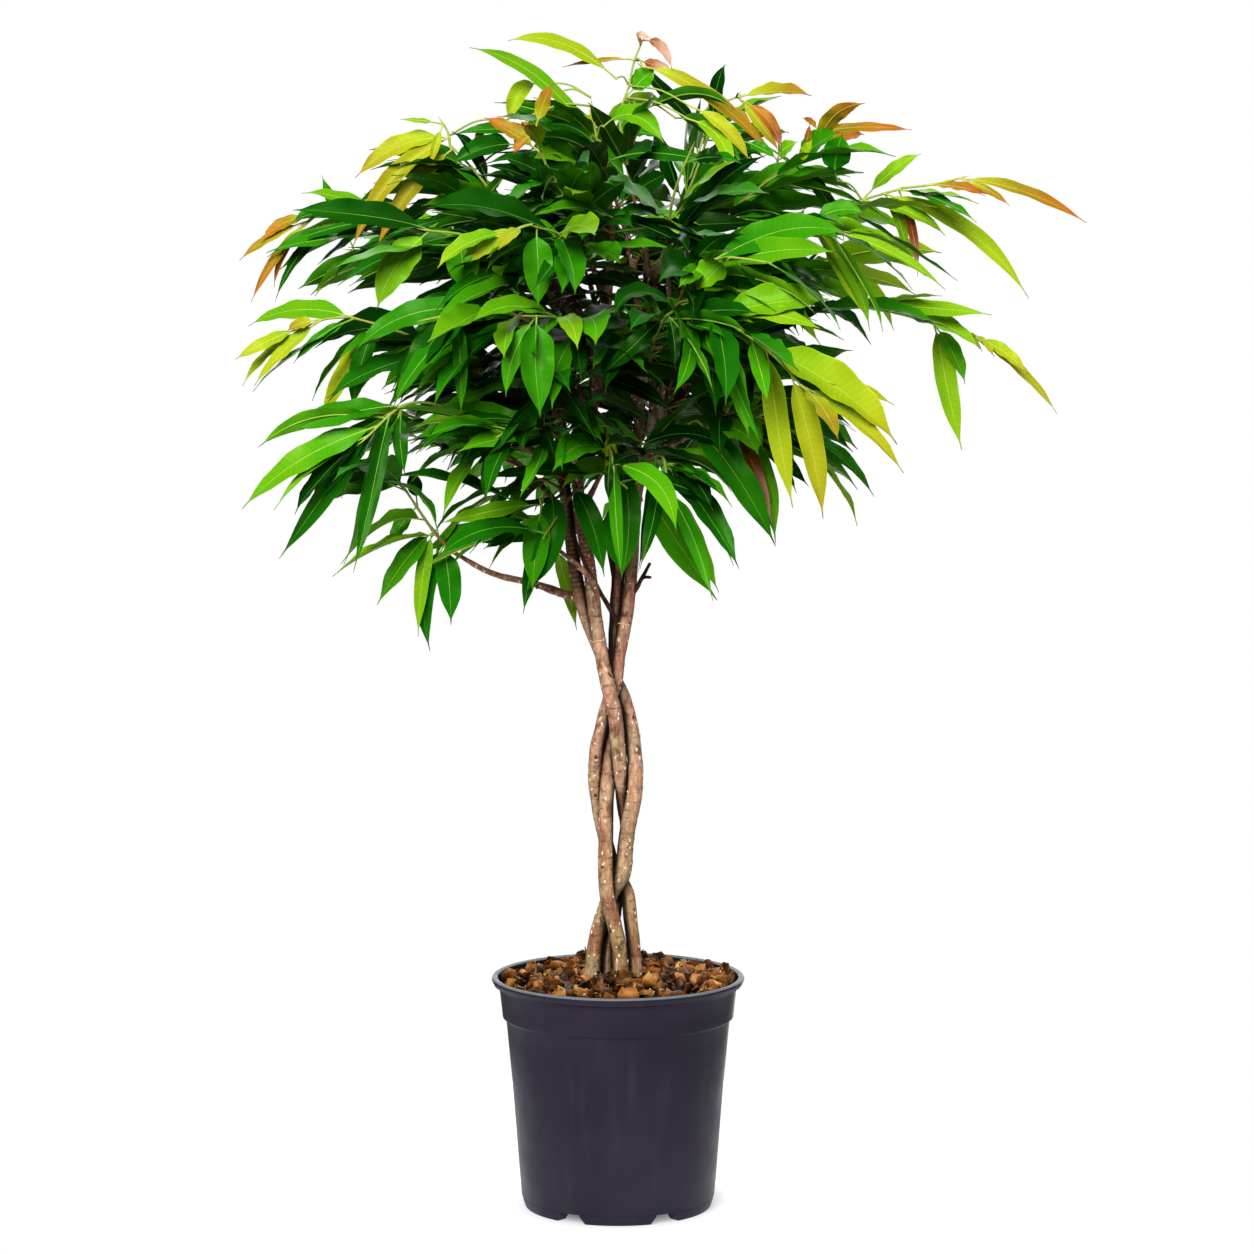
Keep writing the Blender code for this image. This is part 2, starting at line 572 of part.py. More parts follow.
def closest(p, d, q, e):
    """Closest points of many pairs of straight pieces, as shares along each and the gap vector."""
    r = p - q
    a = np.maximum(np.einsum("ij,ij->i", d, d), 1e-14)
    b = np.einsum("ij,ij->i", d, e)
    c = np.einsum("ij,ij->i", d, r)
    f = np.einsum("ij,ij->i", e, r)
    g = np.maximum(np.einsum("ij,ij->i", e, e), 1e-14)
    determinant = np.maximum(a * g - b * b, 1e-14)
    s = np.clip((b * f - c * g) / determinant, 0, 1)
    t = np.clip((b * s + f) / g, 0, 1)
    s = np.clip((b * t - c) / a, 0, 1)
    gap = (p + d * s[:, None]) - (q + e * t[:, None])
    return s, t, gap


def settle(runs, rounds, clearance):
    """Pushes runs apart until each keeps its clearance, and returns the worst that is left."""
    owner, place, group, host = [], [], [], []
    for number, run in enumerate(runs):
        pieces = len(run.points) - 1
        owner += [number] * pieces
        place += list(range(pieces))
        group += [run.group] * pieces
        host += [run.host if index < WOOD_PIECES and run.host else "none"
                 for index in range(pieces)]
    owner, place, group, host = np.array(owner), np.array(place), np.array(group), np.array(host)
    first, second = np.triu_indices(len(owner), 1)
    apart = group[first] != group[second]
    apart &= (host[first] != group[second]) & (host[second] != group[first])
    apart &= (host[first] != host[second]) | (host[first] == "none")
    first, second = first[apart], second[apart]
    radius = np.concatenate([np.maximum(run.radii[:-1], run.radii[1:]) for run in runs])
    worst = 0.0
    for _ in range(rounds):
        start = np.concatenate([run.points[:-1] for run in runs])
        reach = np.concatenate([run.points[1:] - run.points[:-1] for run in runs])
        middle = start + reach / 2
        size = np.linalg.norm(reach, axis=1) / 2 + radius
        one, two = first, second
        near = np.linalg.norm(middle[one] - middle[two], axis=1) < size[one] + size[two] + clearance
        one, two = one[near], two[near]
        s, t, gap = closest(start[one], reach[one], start[two], reach[two])
        distance = np.linalg.norm(gap, axis=1)
        needed = radius[one] + radius[two] + clearance
        worst = float(np.max(needed - distance, initial=0.0))
        if worst <= 0.0:
            return 0.0
        for index in np.nonzero(distance < needed)[0]:
            away = gap[index] / max(distance[index], 1e-9)
            push = (needed[index] - distance[index]) * 0.55 + 0.00005
            for number, piece, share, sign in ((owner[one[index]], place[one[index]], s[index], 1),
                                               (owner[two[index]], place[two[index]], t[index], -1)):
                run = runs[number]
                move = away * sign * push * np.array((run.sideways, 1, run.sideways))
                if piece >= run.fixed:
                    run.points[piece] += move * (1 - share)
                if piece + 1 >= run.fixed:
                    run.points[piece + 1] += move * share
    return worst


def stem_radius(table, share):
    """A stem's radius at a share of its length above the soil: flared foot, even middle, thin top."""
    flare = 0.08
    taper = 0.55
    if share < flare:
        return (table["foot"] + (table["middle"] - table["foot"]) * share / flare) * MM
    if share < taper:
        return table["middle"] * MM
    return (table["middle"] + (table["top"] - table["middle"]) * (share - taper) / (1 - taper)) * MM


def sockets_on(name, line):
    """Where limbs grow from a stem: the distance along it and the limbs of each short piece."""
    total = lengths(line)
    wanted = sorted((table["root"], key) for key, table in SPRAYS.items()
                    if table["stem"] == name and table["root"])
    sockets = []
    for height, key in wanted:
        index = next((i for i, p in enumerate(line) if p.z > height * MM), len(line) - 1)
        heading = (seen(*SPRAYS[key]["path"][-1]) - line[index]).xy.normalized()
        if sockets:
            last = sockets[-1]
            shared = len(last["limbs"]) == 1 and last["heading"].dot(heading) < 0.5
            if shared and total[index] - last["distance"] < SOCKET_SPACING:
                last["limbs"].append(key)
                continue
        distance = total[index]
        if sockets:
            distance = max(distance, sockets[-1]["distance"] + SOCKET_SPACING)
        distance = min(distance, total[-1] - SOCKET_LENGTH)
        sockets.append(dict(distance=distance, limbs=[key], heading=heading))
    return sockets


def plan_stems():
    """The four stems' runs: a straight foot in the soil, then even rings, with a pair at each socket."""
    runs = {}
    for name, table in STEMS.items():
        line = smooth_line([Vector(p) * MM for p in table["line"]])
        total = lengths(line)[-1]
        marks = [0.0]
        sockets = []
        stops = [(item["distance"], item["limbs"]) for item in sockets_on(name, line)] + [(None, None)]
        for distance, limbs in stops:
            stop = total if limbs is None else distance - SOCKET_LENGTH / 2
            count = max(1, round((stop - marks[-1]) / STEM_SPACING))
            begin = marks[-1]
            marks += [begin + (stop - begin) * (step + 1) / count for step in range(count)]
            if limbs:
                sockets.append((len(marks), limbs))
                marks.append(distance + SOCKET_LENGTH / 2)
        points = [along(line, mark) for mark in marks]
        radii = [stem_radius(table, mark / total) for mark in marks]
        foot = points[0].copy()
        foot.z = STEM_FOOT
        runs[name] = Line(name, [foot] + points, [radii[0]] + radii, 2, 0.35)
        runs[name].sockets = sockets
    left = settle(list(runs.values()), 200, GAP)
    print("stems: overlap left %.4f mm" % (left / MM))
    return runs


def limb_radius(share, bare, length, root=None):
    """Wood tapers from its root to the joint, and the green twig from there to its end."""
    root = root or LIMB_ROOT + LIMB_ROOT_GAIN * length
    if share < bare:
        return root + (LIMB_JOINT - root) * share / bare
    return LIMB_JOINT + (TWIG_END - LIMB_JOINT) * (share - bare) / (1 - bare)


def ray_station(line, across, down):
    """Distance along the line of its point nearest to this place in the view."""
    total = lengths(line)
    eye = Vector((VIEW_SIDE, -VIEW_DISTANCE, VIEW_HEIGHT))
    ray = (seen(across, down, 0) - eye).normalized()
    misses = [((p - eye) - ray * (p - eye).dot(ray)).length for p in line]
    return total[misses.index(min(misses))]


def spread(wanted, count, low, high):
    """Stations with two leaves each: the wanted ones in order and apart, the rest in the widest gaps."""
    wanted = sorted(wanted, key=lambda item: item[0])
    pairs = [wanted[i:i + NODE_LEAVES] for i in range(0, len(wanted), NODE_LEAVES)]
    stations = []
    for pair in pairs:
        leaves = [marked for _, marked in pair] + [None] * (NODE_LEAVES - len(pair))
        stations.append([sum(distance for distance, _ in pair) / len(pair), leaves])
    spacing = min(NODE_SPACING, (high - low) / max(len(stations), 1))
    for a, b in zip(stations, stations[1:]):
        b[0] = max(b[0], a[0] + spacing)
    ceiling = high
    for item in stations[::-1]:
        item[0] = min(item[0], ceiling)
        ceiling = item[0] - spacing
    while len(stations) * NODE_LEAVES < count:
        marks = [low - spacing] + [item[0] for item in stations] + [high + spacing]
        gaps = [b - a for a, b in zip(marks, marks[1:])]
        widest = gaps.index(max(gaps))
        if gaps[widest] < 1.6 * spacing:
            break
        middle = (marks[widest] + marks[widest + 1]) / 2
        stations.insert(widest, [middle, [None] * NODE_LEAVES])
    return stations


def plan_limb(name, table, stem):
    """A limb's run from inside its stem to its last leaf, with the leaf stations on it."""
    path = [seen(*p) for p in table["path"]]
    if table["root"] is None:
        start = [Vector(stem.points[-2]), Vector(stem.points[-1])]
        line = smooth_line(start + path)
        line = line[next(i for i, p in enumerate(line) if (p - start[1]).length < GAP):]
    else:
        low = next(index for index, limbs in stem.sockets if name in limbs)
        line = smooth_line([Vector(stem.points[low]).lerp(Vector(stem.points[low + 1]), 0.5)] + path)
    total = lengths(line)[-1]
    joint = total * table["bare"]
    first, last = joint + FIRST_LEAF, total - LAST_LEAF
    wanted = [(min(max(ray_station(line, m[0], m[1]), first), last), m) for m in table["marked"]]
    stations = spread(wanted, table["leaves"], first, last)
    marks = [joint * step / WOOD_PIECES for step in range(WOOD_PIECES + 1)]
    for distance, _ in stations:
        marks += [distance - NODE_LENGTH / 2, distance + NODE_LENGTH / 2]
    if marks[-1] < total - NODE_LENGTH / 2:
        marks.append(total)
    points = [along(line, mark) for mark in marks]
    top = float(stem.radii[-1]) if table["root"] is None else None
    radii = [limb_radius(mark / total, table["bare"], total, top) for mark in marks]
    run = Line(name, points, radii, 1, 1.0, host=stem.name)
    run.leaves = [leaf for _, pair in stations for leaf in pair]
    run.leader = table["root"] is None
    return run


def plan_tip(name, table, limb):
    """A growing tip's run, from the end of its limb."""
    end = Vector(limb.points[-1])
    line = smooth_line([end] + [seen(*p) for p in table["path"]])
    total = lengths(line)[-1]
    first, last = TIP_FIRST_LEAF, total - TIP_LAST_LEAF
    wanted = [(min(max(ray_station(line, m[0], m[1]), first), last), m) for m in table["marked"]]
    stations = spread(wanted, table["leaves"], first, last)
    marks = [0.0]
    for distance, _ in stations:
        marks += [distance - NODE_LENGTH / 2, distance + NODE_LENGTH / 2]
    points = [along(line, mark) for mark in marks]
    overrun = max(marks[-1] - total, 0.0)
    if overrun:
        points[-1] += (line[-1] - line[-2]).normalized() * overrun
    radii = [TWIG_END + (TIP_END - TWIG_END) * mark / marks[-1] for mark in marks]
    run = Line("tip_" + name, points, radii, 1, 1.0, group=name)
    run.leaves = [leaf for _, pair in stations for leaf in pair]
    return run


def leaf_rings(base, control, end, width, face, thickness, grow):
    """Rings of a folded blade: left edge, upper midrib, right edge, lower midrib, and its tip."""
    stalk = min(PETIOLE / (end - base).length, 0.25)
    rings = []
    for share, fullness in ((stalk, STALK_WIDTH),) + BLADE_RINGS:
        centre = base.lerp(control, share).lerp(control.lerp(end, share), share)
        direction = (control.lerp(end, share) - base.lerp(control, share)).normalized()
        normal = (face - direction * face.dot(direction)).normalized()
        across = direction.cross(normal)
        half = width * fullness / 2 + grow
        lift = normal * half * FOLD
        rings.append([centre - across * half + lift, centre + normal * thickness / 2,
                      centre + across * half + lift, centre - normal * thickness / 2])
    tip = end + (end - control).normalized() * grow
    return rings, tip


def leaf_faces(start, count, tip):
    """Triangles of a blade whose rings of four start at these indices, alike on both its sides."""
    faces = []
    for index in range(count - 1):
        la, ta, ra, ba = start[index]
        lb, tb, rb, bb = start[index + 1]
        faces += [(la, ta, tb), (la, tb, lb), (ta, ra, tb), (ra, rb, tb)]
        faces += [(la, bb, ba), (la, lb, bb), (ba, bb, ra), (ra, bb, rb)]
    la, ta, ra, ba = start[count - 1]
    faces += [(la, ta, tip), (ta, ra, tip), (ra, ba, tip), (ba, la, tip)]
    return faces


def stalk_start(root, ring):
    """A slimmer ring just above a leaf stalk's root, clear of the twig that it grows from."""
    slimmer, above = 0.94, 0.03
    centre = sum(root, Vector()) / len(root)
    return [(centre + (a - centre) * slimmer).lerp(b, above) for a, b in zip(root, ring)]


def twisted(rings):
    """True where a blade's upper side turns too far between one ring and the next."""
    ups = [(ring[1] - ring[3]).normalized() for ring in rings]
    return any(a.dot(b) < LEAST_TURN for a, b in zip(ups, ups[1:]))


def blade_tree(rings, tip):
    """A search tree of a blade's rings, for testing what it would cross."""
    points = [p for ring in rings for p in ring] + [tip]
    start = [tuple(range(4 * i, 4 * i + 4)) for i in range(len(rings))]
    faces = leaf_faces(start, len(rings), len(points) - 1)
    faces += [(0, 1, 2), (0, 2, 3)]
    return BVHTree.FromPolygons(points, faces)


class Placed:
    """What is already placed: search trees with a ball round each, for quick tests."""

    def __init__(self):
        self.items = []

    def add(self, tree, points):
        middle = sum(points, Vector()) / len(points)
        radius = max((p - middle).length for p in points)
        self.items.append((tree, middle, radius))

    def hits(self, tree, points):
        middle = sum(points, Vector()) / len(points)
        radius = max((p - middle).length for p in points)
        for other, centre, size in self.items:
            if (centre - middle).length < size + radius and other.overlap(tree):
                return True
        return False


def matched(quad, ring):
    """The order of the quad's corners that lies opposite the ring's points."""
    def cost(order):
        return sum((quad[i] - p).length_squared for i, p in zip(order, ring))
    orders = [tuple((k + s) % 4 for k in range(4)) for s in range(4)]
    orders += [tuple((s - k) % 4 for k in range(4)) for s in range(4)]
    return min(orders, key=cost)


def marked_leaf(base, heading, marked, draw, attempt):
    """A leaf whose tip is seen at its marked place, a step nearer or further at each new attempt.

    It leaves its twig along the twig's own way, arches a little, and faces the front and the sky.
    """
    depth_step = 7
    lean = 0 if base.y > 0.1 else -8
    nearer = (attempt + 1) // 2 * (1 if attempt % 2 else -1)
    target = seen(marked[2], marked[3], base.y / MM + nearer * depth_step + lean)
    reach = (target - base).length
    target = base + (target - base) * min(1.0, LONGEST_LEAF / reach)
    reach = (target - base).length
    control = base.lerp(target, 0.45) + Vector((0, 0, 0.10 * reach)) + heading * 0.05 * reach
    turn = draw.uniform(-0.35, 0.35) * min(attempt, 6) / 3
    rise = 0.75 + draw.uniform(-0.3, 0.3) * min(attempt, 4) / 4
    width = marked[4] * MM * (1.0 if attempt < 16 else 0.8)
    return target, control, width, Vector((turn, -0.85, rise))


def free_leaf(base, heading, number, young, draw, attempt):
    """A leaf drawn by rule: it sets out to one side of its twig and outward, then droops.

    Low leaves and those at the crown's edge droop most. Late attempts are shorter.
    """
    radial = Vector((base.x, base.y, 0))
    edge = min(radial.length / CROWN_EDGE, 1.0)
    radial = radial.normalized() if radial.length > 0.02 else Vector((0, -1, 0))
    side = heading.cross(Vector((0, 0, 1)))
    side = side.normalized() * (1 if number % 2 else -1) if side.length > 0.05 else radial
    swing = draw.uniform(*LEAF_SWING)
    lift = draw.uniform(*LEAF_LIFT)
    start = (heading + side * swing + radial * draw.uniform(*LEAF_OUTWARD)
             + Vector((0, 0, lift))).normalized()
    high = min(max((base.z - 0.80) / 0.35, 0.0), 1.0)
    droop = draw.uniform(*LEAF_DROOP) * (1.25 - 0.75 * high) * (0.75 + 0.4 * edge)
    finish = (start + Vector((0, 0, -droop)) + radial * 0.25 * high).normalized()
    length = draw.uniform(*LEAF_LENGTH) * (YOUNG_LENGTH if young else 1.0)
    length *= 1 - 0.012 * max(attempt - 8, 0)
    width = length * draw.uniform(*LEAF_WIDTH)
    control = base + start * length * 0.5
    end = control + finish * length * 0.5
    front = Vector((0, -1 if base.y < 0.08 else 1, 0))
    face = (radial * 0.5 + front * draw.uniform(0.2, 0.8) + Vector((0, 0, draw.uniform(0.5, 1.1)))
            + side * draw.uniform(-0.5, 0.5))
    return end, control, width, face


def leaf_side(a, b, middle, aim, taken):
    """The free side of a twig's short piece that best faces the way a leaf sets out."""
    sides = []
    for step in range(TWIG_SIDES):
        if step in taken:
            continue
        following = (step + 1) % TWIG_SIDES
        centre = (a[step] + a[following] + b[step] + b[following]) / 4
        sides.append(((centre - middle).normalized().dot(aim), step, centre))
    return max(sides)


def fit_leaf(a, b, middle, number, marked, young, taken, draw, placed):
    """The first try at a leaf that crosses nothing: its side, rings, tip and order of corners."""
    heading = (sum(b, Vector()) - sum(a, Vector())).normalized()
    for attempt in range(TRIES):
        if marked:
            end, control, width, face = marked_leaf(middle, heading, marked, draw, attempt)
        else:
            end, control, width, face = free_leaf(middle, heading, number, young, draw, attempt)
        splay, side, base = leaf_side(a, b, middle, (control - middle).normalized(), taken)
        if splay < LEAST_SPLAY:
            continue
        control = control + (base - middle).normalized() * 2 * MM
        following = (side + 1) % TWIG_SIDES
        quad = [a[side], a[following], b[following], b[side]]
        rings, tip = leaf_rings(base, control, end, width, face, LEAF_THICKNESS, 0.0)
        order = matched(quad, rings[0])
        root = [quad[i] for i in order]
        if twisted(rings):
            continue
        wide, far = leaf_rings(base, control, end, width, face, LEAF_THICKNESS + 0.8 * MM, ROOM)
        wide = [stalk_start(root, wide[0])] + wide
        points = [p for ring in wide for p in ring] + [far]
        if outside(points, marked) or placed.hits(blade_tree(wide, far), points):
            continue
        kept = [stalk_start(root, rings[0])] + rings
        placed.add(blade_tree(kept, tip), [p for ring in kept for p in ring] + [tip])
        return side, rings, tip, order
    return None


def twig_rings(run, start, shared):
    """Centres, directions and rings of a twig that starts a gap beyond the flat end before it."""
    centres = [Vector(p) for p in run.points[start:]]
    directions = tangents([Vector(p) for p in run.points])[start:]
    directions[0] = shared
    centres[0] = centres[0] + shared * GAP
    down = Vector((0, 1, 0)) if abs(shared.z) > 0.95 else Vector((0, 0, -1))
    rings = rings_along(centres, directions, run.radii[start:], TWIG_SIDES, down)
    return centres, directions, rings


def twig_end(points, centres, directions, capped):
    """Closing faces of a twig: a flat end where a growing tip meets it, or a pointed bud."""
    ring = list(range(len(points) - TWIG_SIDES, len(points)))
    if capped:
        return [tuple(ring)]
    points.append(centres[-1] + directions[-1] * BUD)
    return [(ring[step], ring[(step + 1) % TWIG_SIDES], len(points) - 1) for step in range(TWIG_SIDES)]


def twig_tube(run, start, shared, capped):
    """Points and faces of a twig before its leaves."""
    centres, directions, rings = twig_rings(run, start, shared)
    points, faces = tube(rings)
    return points, faces[:-1] + twig_end(points, centres, directions, capped)


def build_twig(name, run, start, shared, finish, capped, draw, placed):
    """A leafy twig: its three-sided stem, and leaves grown from sides of its short pieces."""
    centres, directions, rings = twig_rings(run, start, shared)
    points = [p for ring in rings for p in ring]
    closing = twig_end(points, centres, directions, capped)
    young = finish != "leaf_mature"
    grown = [{} for _ in rings]
    for number in sorted(range(len(run.leaves)), key=lambda i: run.leaves[i] is None):
        low = 1 + 2 * (number // NODE_LEAVES)
        middle = (centres[low] + centres[low + 1]) / 2
        leaf = fit_leaf(rings[low], rings[low + 1], middle, number, run.leaves[number], young,
                        grown[low], draw, placed)
        if leaf:
            grown[low][leaf[0]] = leaf[1:]

    faces = [(2, 1, 0)]
    for low in range(len(rings) - 1):
        for step in range(TWIG_SIDES):
            following = (step + 1) % TWIG_SIDES
            base = low * TWIG_SIDES
            quad = (base + step, base + following, base + TWIG_SIDES + following, base + TWIG_SIDES + step)
            if step not in grown[low]:
                faces += [(quad[0], quad[1], quad[2]), (quad[0], quad[2], quad[3])]
                continue
            blade, tip, order = grown[low][step]
            indices = [tuple(quad[i] for i in order)]
            for ring in blade:
                indices.append(tuple(range(len(points), len(points) + 4)))
                points += ring
            points.append(tip)
            faces += leaf_faces(indices, len(indices), len(points) - 1)
    faces += closing
    solid(name, points, faces, finish)
    return sum(len(leaves) for leaves in grown)


def build_stem(name, run, limbs, placed):
    """One stem with its woody limbs, which grow from sides of the stem's short pieces."""
    leader = next(limb for limb in limbs if limb.leader)
    centres = [Vector(p) for p in run.points] + [Vector(p) for p in leader.points[1:WOOD_PIECES + 2]]
    directions = tangents(centres)[:-1]
    directions[0] = directions[1] = Vector((0, 0, 1))
    radii = list(run.radii) + list(leader.radii[1:WOOD_PIECES + 1])
    rings = rings_along(centres[:-1], directions, radii, STEM_SIDES, Vector((1, 0, 0)))
    points, faces = tube(rings)
    placed.add(BVHTree.FromPolygons(points, faces), points)
    for low, keys in run.sockets:
        middle = (centres[low] + centres[low + 1]) / 2
        sides = list(range(STEM_SIDES))
        for key in keys:
            limb = next(limb for limb in limbs if limb.name == key)
            line = [Vector(p) for p in limb.points]
            heading = (line[1] - line[0]).normalized()
            facing = {}
            for step in sides:
                quad = socket_quad(low, step)
                facing[step] = (sum((points[i] for i in quad), Vector()) / 4 - middle).dot(heading)
            side = max(facing, key=facing.get)
            sides = [step for step in sides if (step - side) % STEM_SIDES not in (0, 1, STEM_SIDES - 1)]
            quad = socket_quad(low, side)
            faces.remove(quad)
            grow_limb(points, faces, quad, limb, placed)
    solid(name, points, faces, "bark", smooth=True)


def socket_quad(low, side):
    """Indices of one side of the piece between a stem's ring and the next."""
    base = low * STEM_SIDES
    following = (side + 1) % STEM_SIDES
    return (base + side, base + following, base + STEM_SIDES + following, base + STEM_SIDES + side)


def grow_limb(points, faces, quad, limb, placed):
    """A four-sided limb from a side of its stem to the flat end that its twig meets."""
    line = [Vector(p) for p in limb.points]
    wood = WOOD_PIECES + 1
    headings = tangents(line)[:wood]
    upright = Vector((0, 1, 0)) if abs(headings[1].z) > 0.95 else Vector((0, 0, 1))
    rings = rings_along(line[1:wood], headings[1:], limb.radii[1:wood], LIMB_SIDES, upright)
    order = matched([points[i] for i in quad], rings[0])
    below = [quad[i] for i in order]
    first = len(points)
    for ring in rings:
        above = list(range(len(points), len(points) + LIMB_SIDES))
        points += ring
        for step in range(LIMB_SIDES):
            following = (step + 1) % LIMB_SIDES
            faces.append((below[step], below[following], above[following], above[step]))
        below = above
    faces.append(tuple(below))
    tree_faces = [face for face in faces if min(face) >= first]
    placed.add(BVHTree.FromPolygons(points, tree_faces), points[first:])


def stem_holes(runs, clearance):
    """Plain round cutters where the stems stand in soil and mulch."""
    cutters = []
    for run in runs.values():
        radius = (run.radii[0] + clearance) / math.cos(math.pi / HOLE_SIDES)
        up = Vector((0, 0, 1))
        ends = [Vector((*run.points[0][:2], height)) for height in (STEM_FOOT - GAP, HOLE_TOP)]
        rings = rings_along(ends, [up, up], [radius, radius], HOLE_SIDES, Vector((1, 0, 0)))
        points, faces = tube(rings)
        cutters.append(solid("hole", points, faces, "soil"))
    return cutters


def build_soil(runs):
    """The soil that fills the pot, with a plain hole for each stem."""
    bottom = FOOT_HEIGHT + FLOOR_THICKNESS + GAP / MM
    wall = [(inner_radius(height) - WALL_GAP, height) for height in (bottom, SHOULDER_INSIDE[1], SOIL_TOP)]
    points, faces = turned([(0, bottom)] + wall + [(0, SOIL_TOP)], POT_SEGMENTS // 2)
    soil = solid("soil", points, faces, "soil")
    boolean(soil, stem_holes(runs, GAP), "DIFFERENCE")


def build_chip(number, centre, draw):
    """A flake of bark: a thin wedge, tilted, with its lower corners kept above the soil."""
    length = draw.uniform(24, 40) * MM
    width = draw.uniform(12, 20) * MM
    thick = draw.uniform(3.5, 6.0) * MM
    turn = draw.uniform(0, 2 * math.pi)
    tilt = draw.uniform(-0.40, 0.40)
    roll = draw.uniform(-0.5, 0.5)
    lengthwise = Vector((math.cos(turn) * math.cos(tilt), math.sin(turn) * math.cos(tilt), math.sin(tilt)))
    side = lengthwise.cross(Vector((0, 0, 1))).normalized()
    side = (side * math.cos(roll) + lengthwise.cross(side) * math.sin(roll)).normalized()
    up = side.cross(lengthwise).normalized()
    points = []
    for x, narrow in ((-0.5, 0.75), (0.5, 0.6)):
        for y, z in ((-0.5, 0), (0.5, 0), (0.5, 1), (-0.5, 1)):
            corner = centre + lengthwise * x * length + side * y * width * narrow + up * z * thick
            lowest = SOIL_TOP * MM + ROOM + 0.2 * MM * (x + y + 2 * z + 1)
            corner.z = max(corner.z, lowest)
            points.append(corner)
    faces = [(3, 2, 1, 0), (4, 5, 6, 7)]
    for step in range(4):
        following = (step + 1) % 4
        faces.append((step, following, 4 + following, 4 + step))
    return solid("chip_%d" % number, points, faces, "mulch")


def build_mulch(runs):
    """The layer of bark on the soil: a lumpy mound with large chips standing out of it."""
    draw = random.Random(SEED)
    segments = POT_SEGMENTS // 3
    bottom = SOIL_TOP + GAP / MM
    crest = 60
    rough = 1.5
    rings = [(inner_radius(bottom) - WALL_GAP, bottom, 0.0),
             (inner_radius(MULCH_EDGE) - WALL_GAP, MULCH_EDGE, 0.0), (crest, MULCH_TOP, rough)]
    points, faces = turned([(0, bottom)] + [ring[:2] for ring in rings] + [(0, MULCH_CROWN)], segments)
    for index in range(segments * len(rings)):
        points[1 + index].z += draw.uniform(-1, 1) * rings[index // segments][2] * MM
    mulch = solid("mulch", points, faces, "mulch")
    chips = []
    golden = math.pi * (3 - math.sqrt(5))
    nearest, spread_out = 38, 66
    for number in range(CHIPS):
        reach = (nearest + spread_out * math.sqrt((number + 0.5) / CHIPS)) * MM
        angle = number * golden
        centre = Vector((reach * math.cos(angle), reach * math.sin(angle), (MULCH_TOP - 1) * MM))
        chips.append(build_chip(number, centre, draw))
    boolean(mulch, chips, "UNION")
    boolean(mulch, stem_holes(runs, ROOM), "DIFFERENCE")


def outside(points, marked):
    """True where a leaf would leave the crown. A marked leaf may reach as far to the side as it does."""
    if min(p.z for p in points) < CROWN_LOW or max(p.z for p in points) > CROWN_TOP:
        return True
    return not marked and max(p.xy.length for p in points) > CROWN_REACH


def build_plant():
    """The stems with their limbs, then the leafy twigs and the young tips, and the stems' runs back."""
    draw = random.Random(SEED + 1)
    stems = plan_stems()
    limbs = {name: plan_limb(name, table, stems[table["stem"]]) for name, table in SPRAYS.items()}
    held = [Line(run.name, run.points, run.radii, len(run.points), 0.0) for run in stems.values()]
    left = settle(list(limbs.values()) + held, 60, ROOM)
    print("limbs: overlap left %.4f mm" % (left / MM))
    tips = {name: plan_tip(name, table, limbs[name]) for name, table in TIPS.items()}
    held += [Line(run.name, run.points, run.radii, len(run.points), 0.0, host=run.host)
             for run in limbs.values()]
    left = settle(list(tips.values()) + held, 60, ROOM)
    print("tips: overlap left %.4f mm" % (left / MM))

    placed = Placed()
    for name, run in stems.items():
        build_stem(name, run, [limb for limb in limbs.values() if limb.host == name], placed)
    twigs = []
    for name, run in tips.items():
        shared = tangents([Vector(p) for p in limbs[name].points])[-1]
        twigs.append((run.name, run, 0, shared, TIPS[name]["colour"], False))
    for name, run in limbs.items():
        shared = tangents([Vector(p) for p in run.points])[WOOD_PIECES]
        twigs.append(("spray_" + name, run, WOOD_PIECES, shared, "leaf_mature", name in TIPS))
    for name, run, start, shared, _, capped in twigs:
        points, faces = twig_tube(run, start, shared, capped)
        placed.add(BVHTree.FromPolygons(points, faces), points)
    total = 0
    for name, run, start, shared, finish, capped in twigs:
        total += build_twig(name, run, start, shared, finish, capped, draw, placed)
    print("leaves:", total)
    return stems


build_pot()
plant_stems = build_plant()
build_soil(plant_stems)
build_mulch(plant_stems)
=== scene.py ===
# %% [markdown]
# # A potted ficus
# A long-leaved ficus with a trunk of four braided stems stands in a charcoal nursery pot. The
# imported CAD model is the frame: its pot, stems, twigs and leaves say where everything is. This
# lesson reads those places back from the frame and dresses them with finer shapes and finishes.

# %% Load the frame
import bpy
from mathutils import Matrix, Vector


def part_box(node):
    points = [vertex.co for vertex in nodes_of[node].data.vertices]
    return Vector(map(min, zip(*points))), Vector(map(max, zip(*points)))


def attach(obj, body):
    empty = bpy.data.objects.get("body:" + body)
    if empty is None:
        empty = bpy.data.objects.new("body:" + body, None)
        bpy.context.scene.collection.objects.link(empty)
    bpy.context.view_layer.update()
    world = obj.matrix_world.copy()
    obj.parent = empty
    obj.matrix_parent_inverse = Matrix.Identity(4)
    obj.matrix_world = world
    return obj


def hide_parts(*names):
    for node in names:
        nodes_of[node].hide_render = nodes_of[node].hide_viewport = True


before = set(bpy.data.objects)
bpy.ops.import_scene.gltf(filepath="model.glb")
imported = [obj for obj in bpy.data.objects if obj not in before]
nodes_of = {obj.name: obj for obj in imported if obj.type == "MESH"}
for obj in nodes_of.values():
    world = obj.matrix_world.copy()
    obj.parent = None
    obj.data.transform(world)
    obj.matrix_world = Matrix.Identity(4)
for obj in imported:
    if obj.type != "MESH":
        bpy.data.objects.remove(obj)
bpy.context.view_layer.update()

import math

import bmesh
import bpy
import numpy as np
from mathutils import Vector

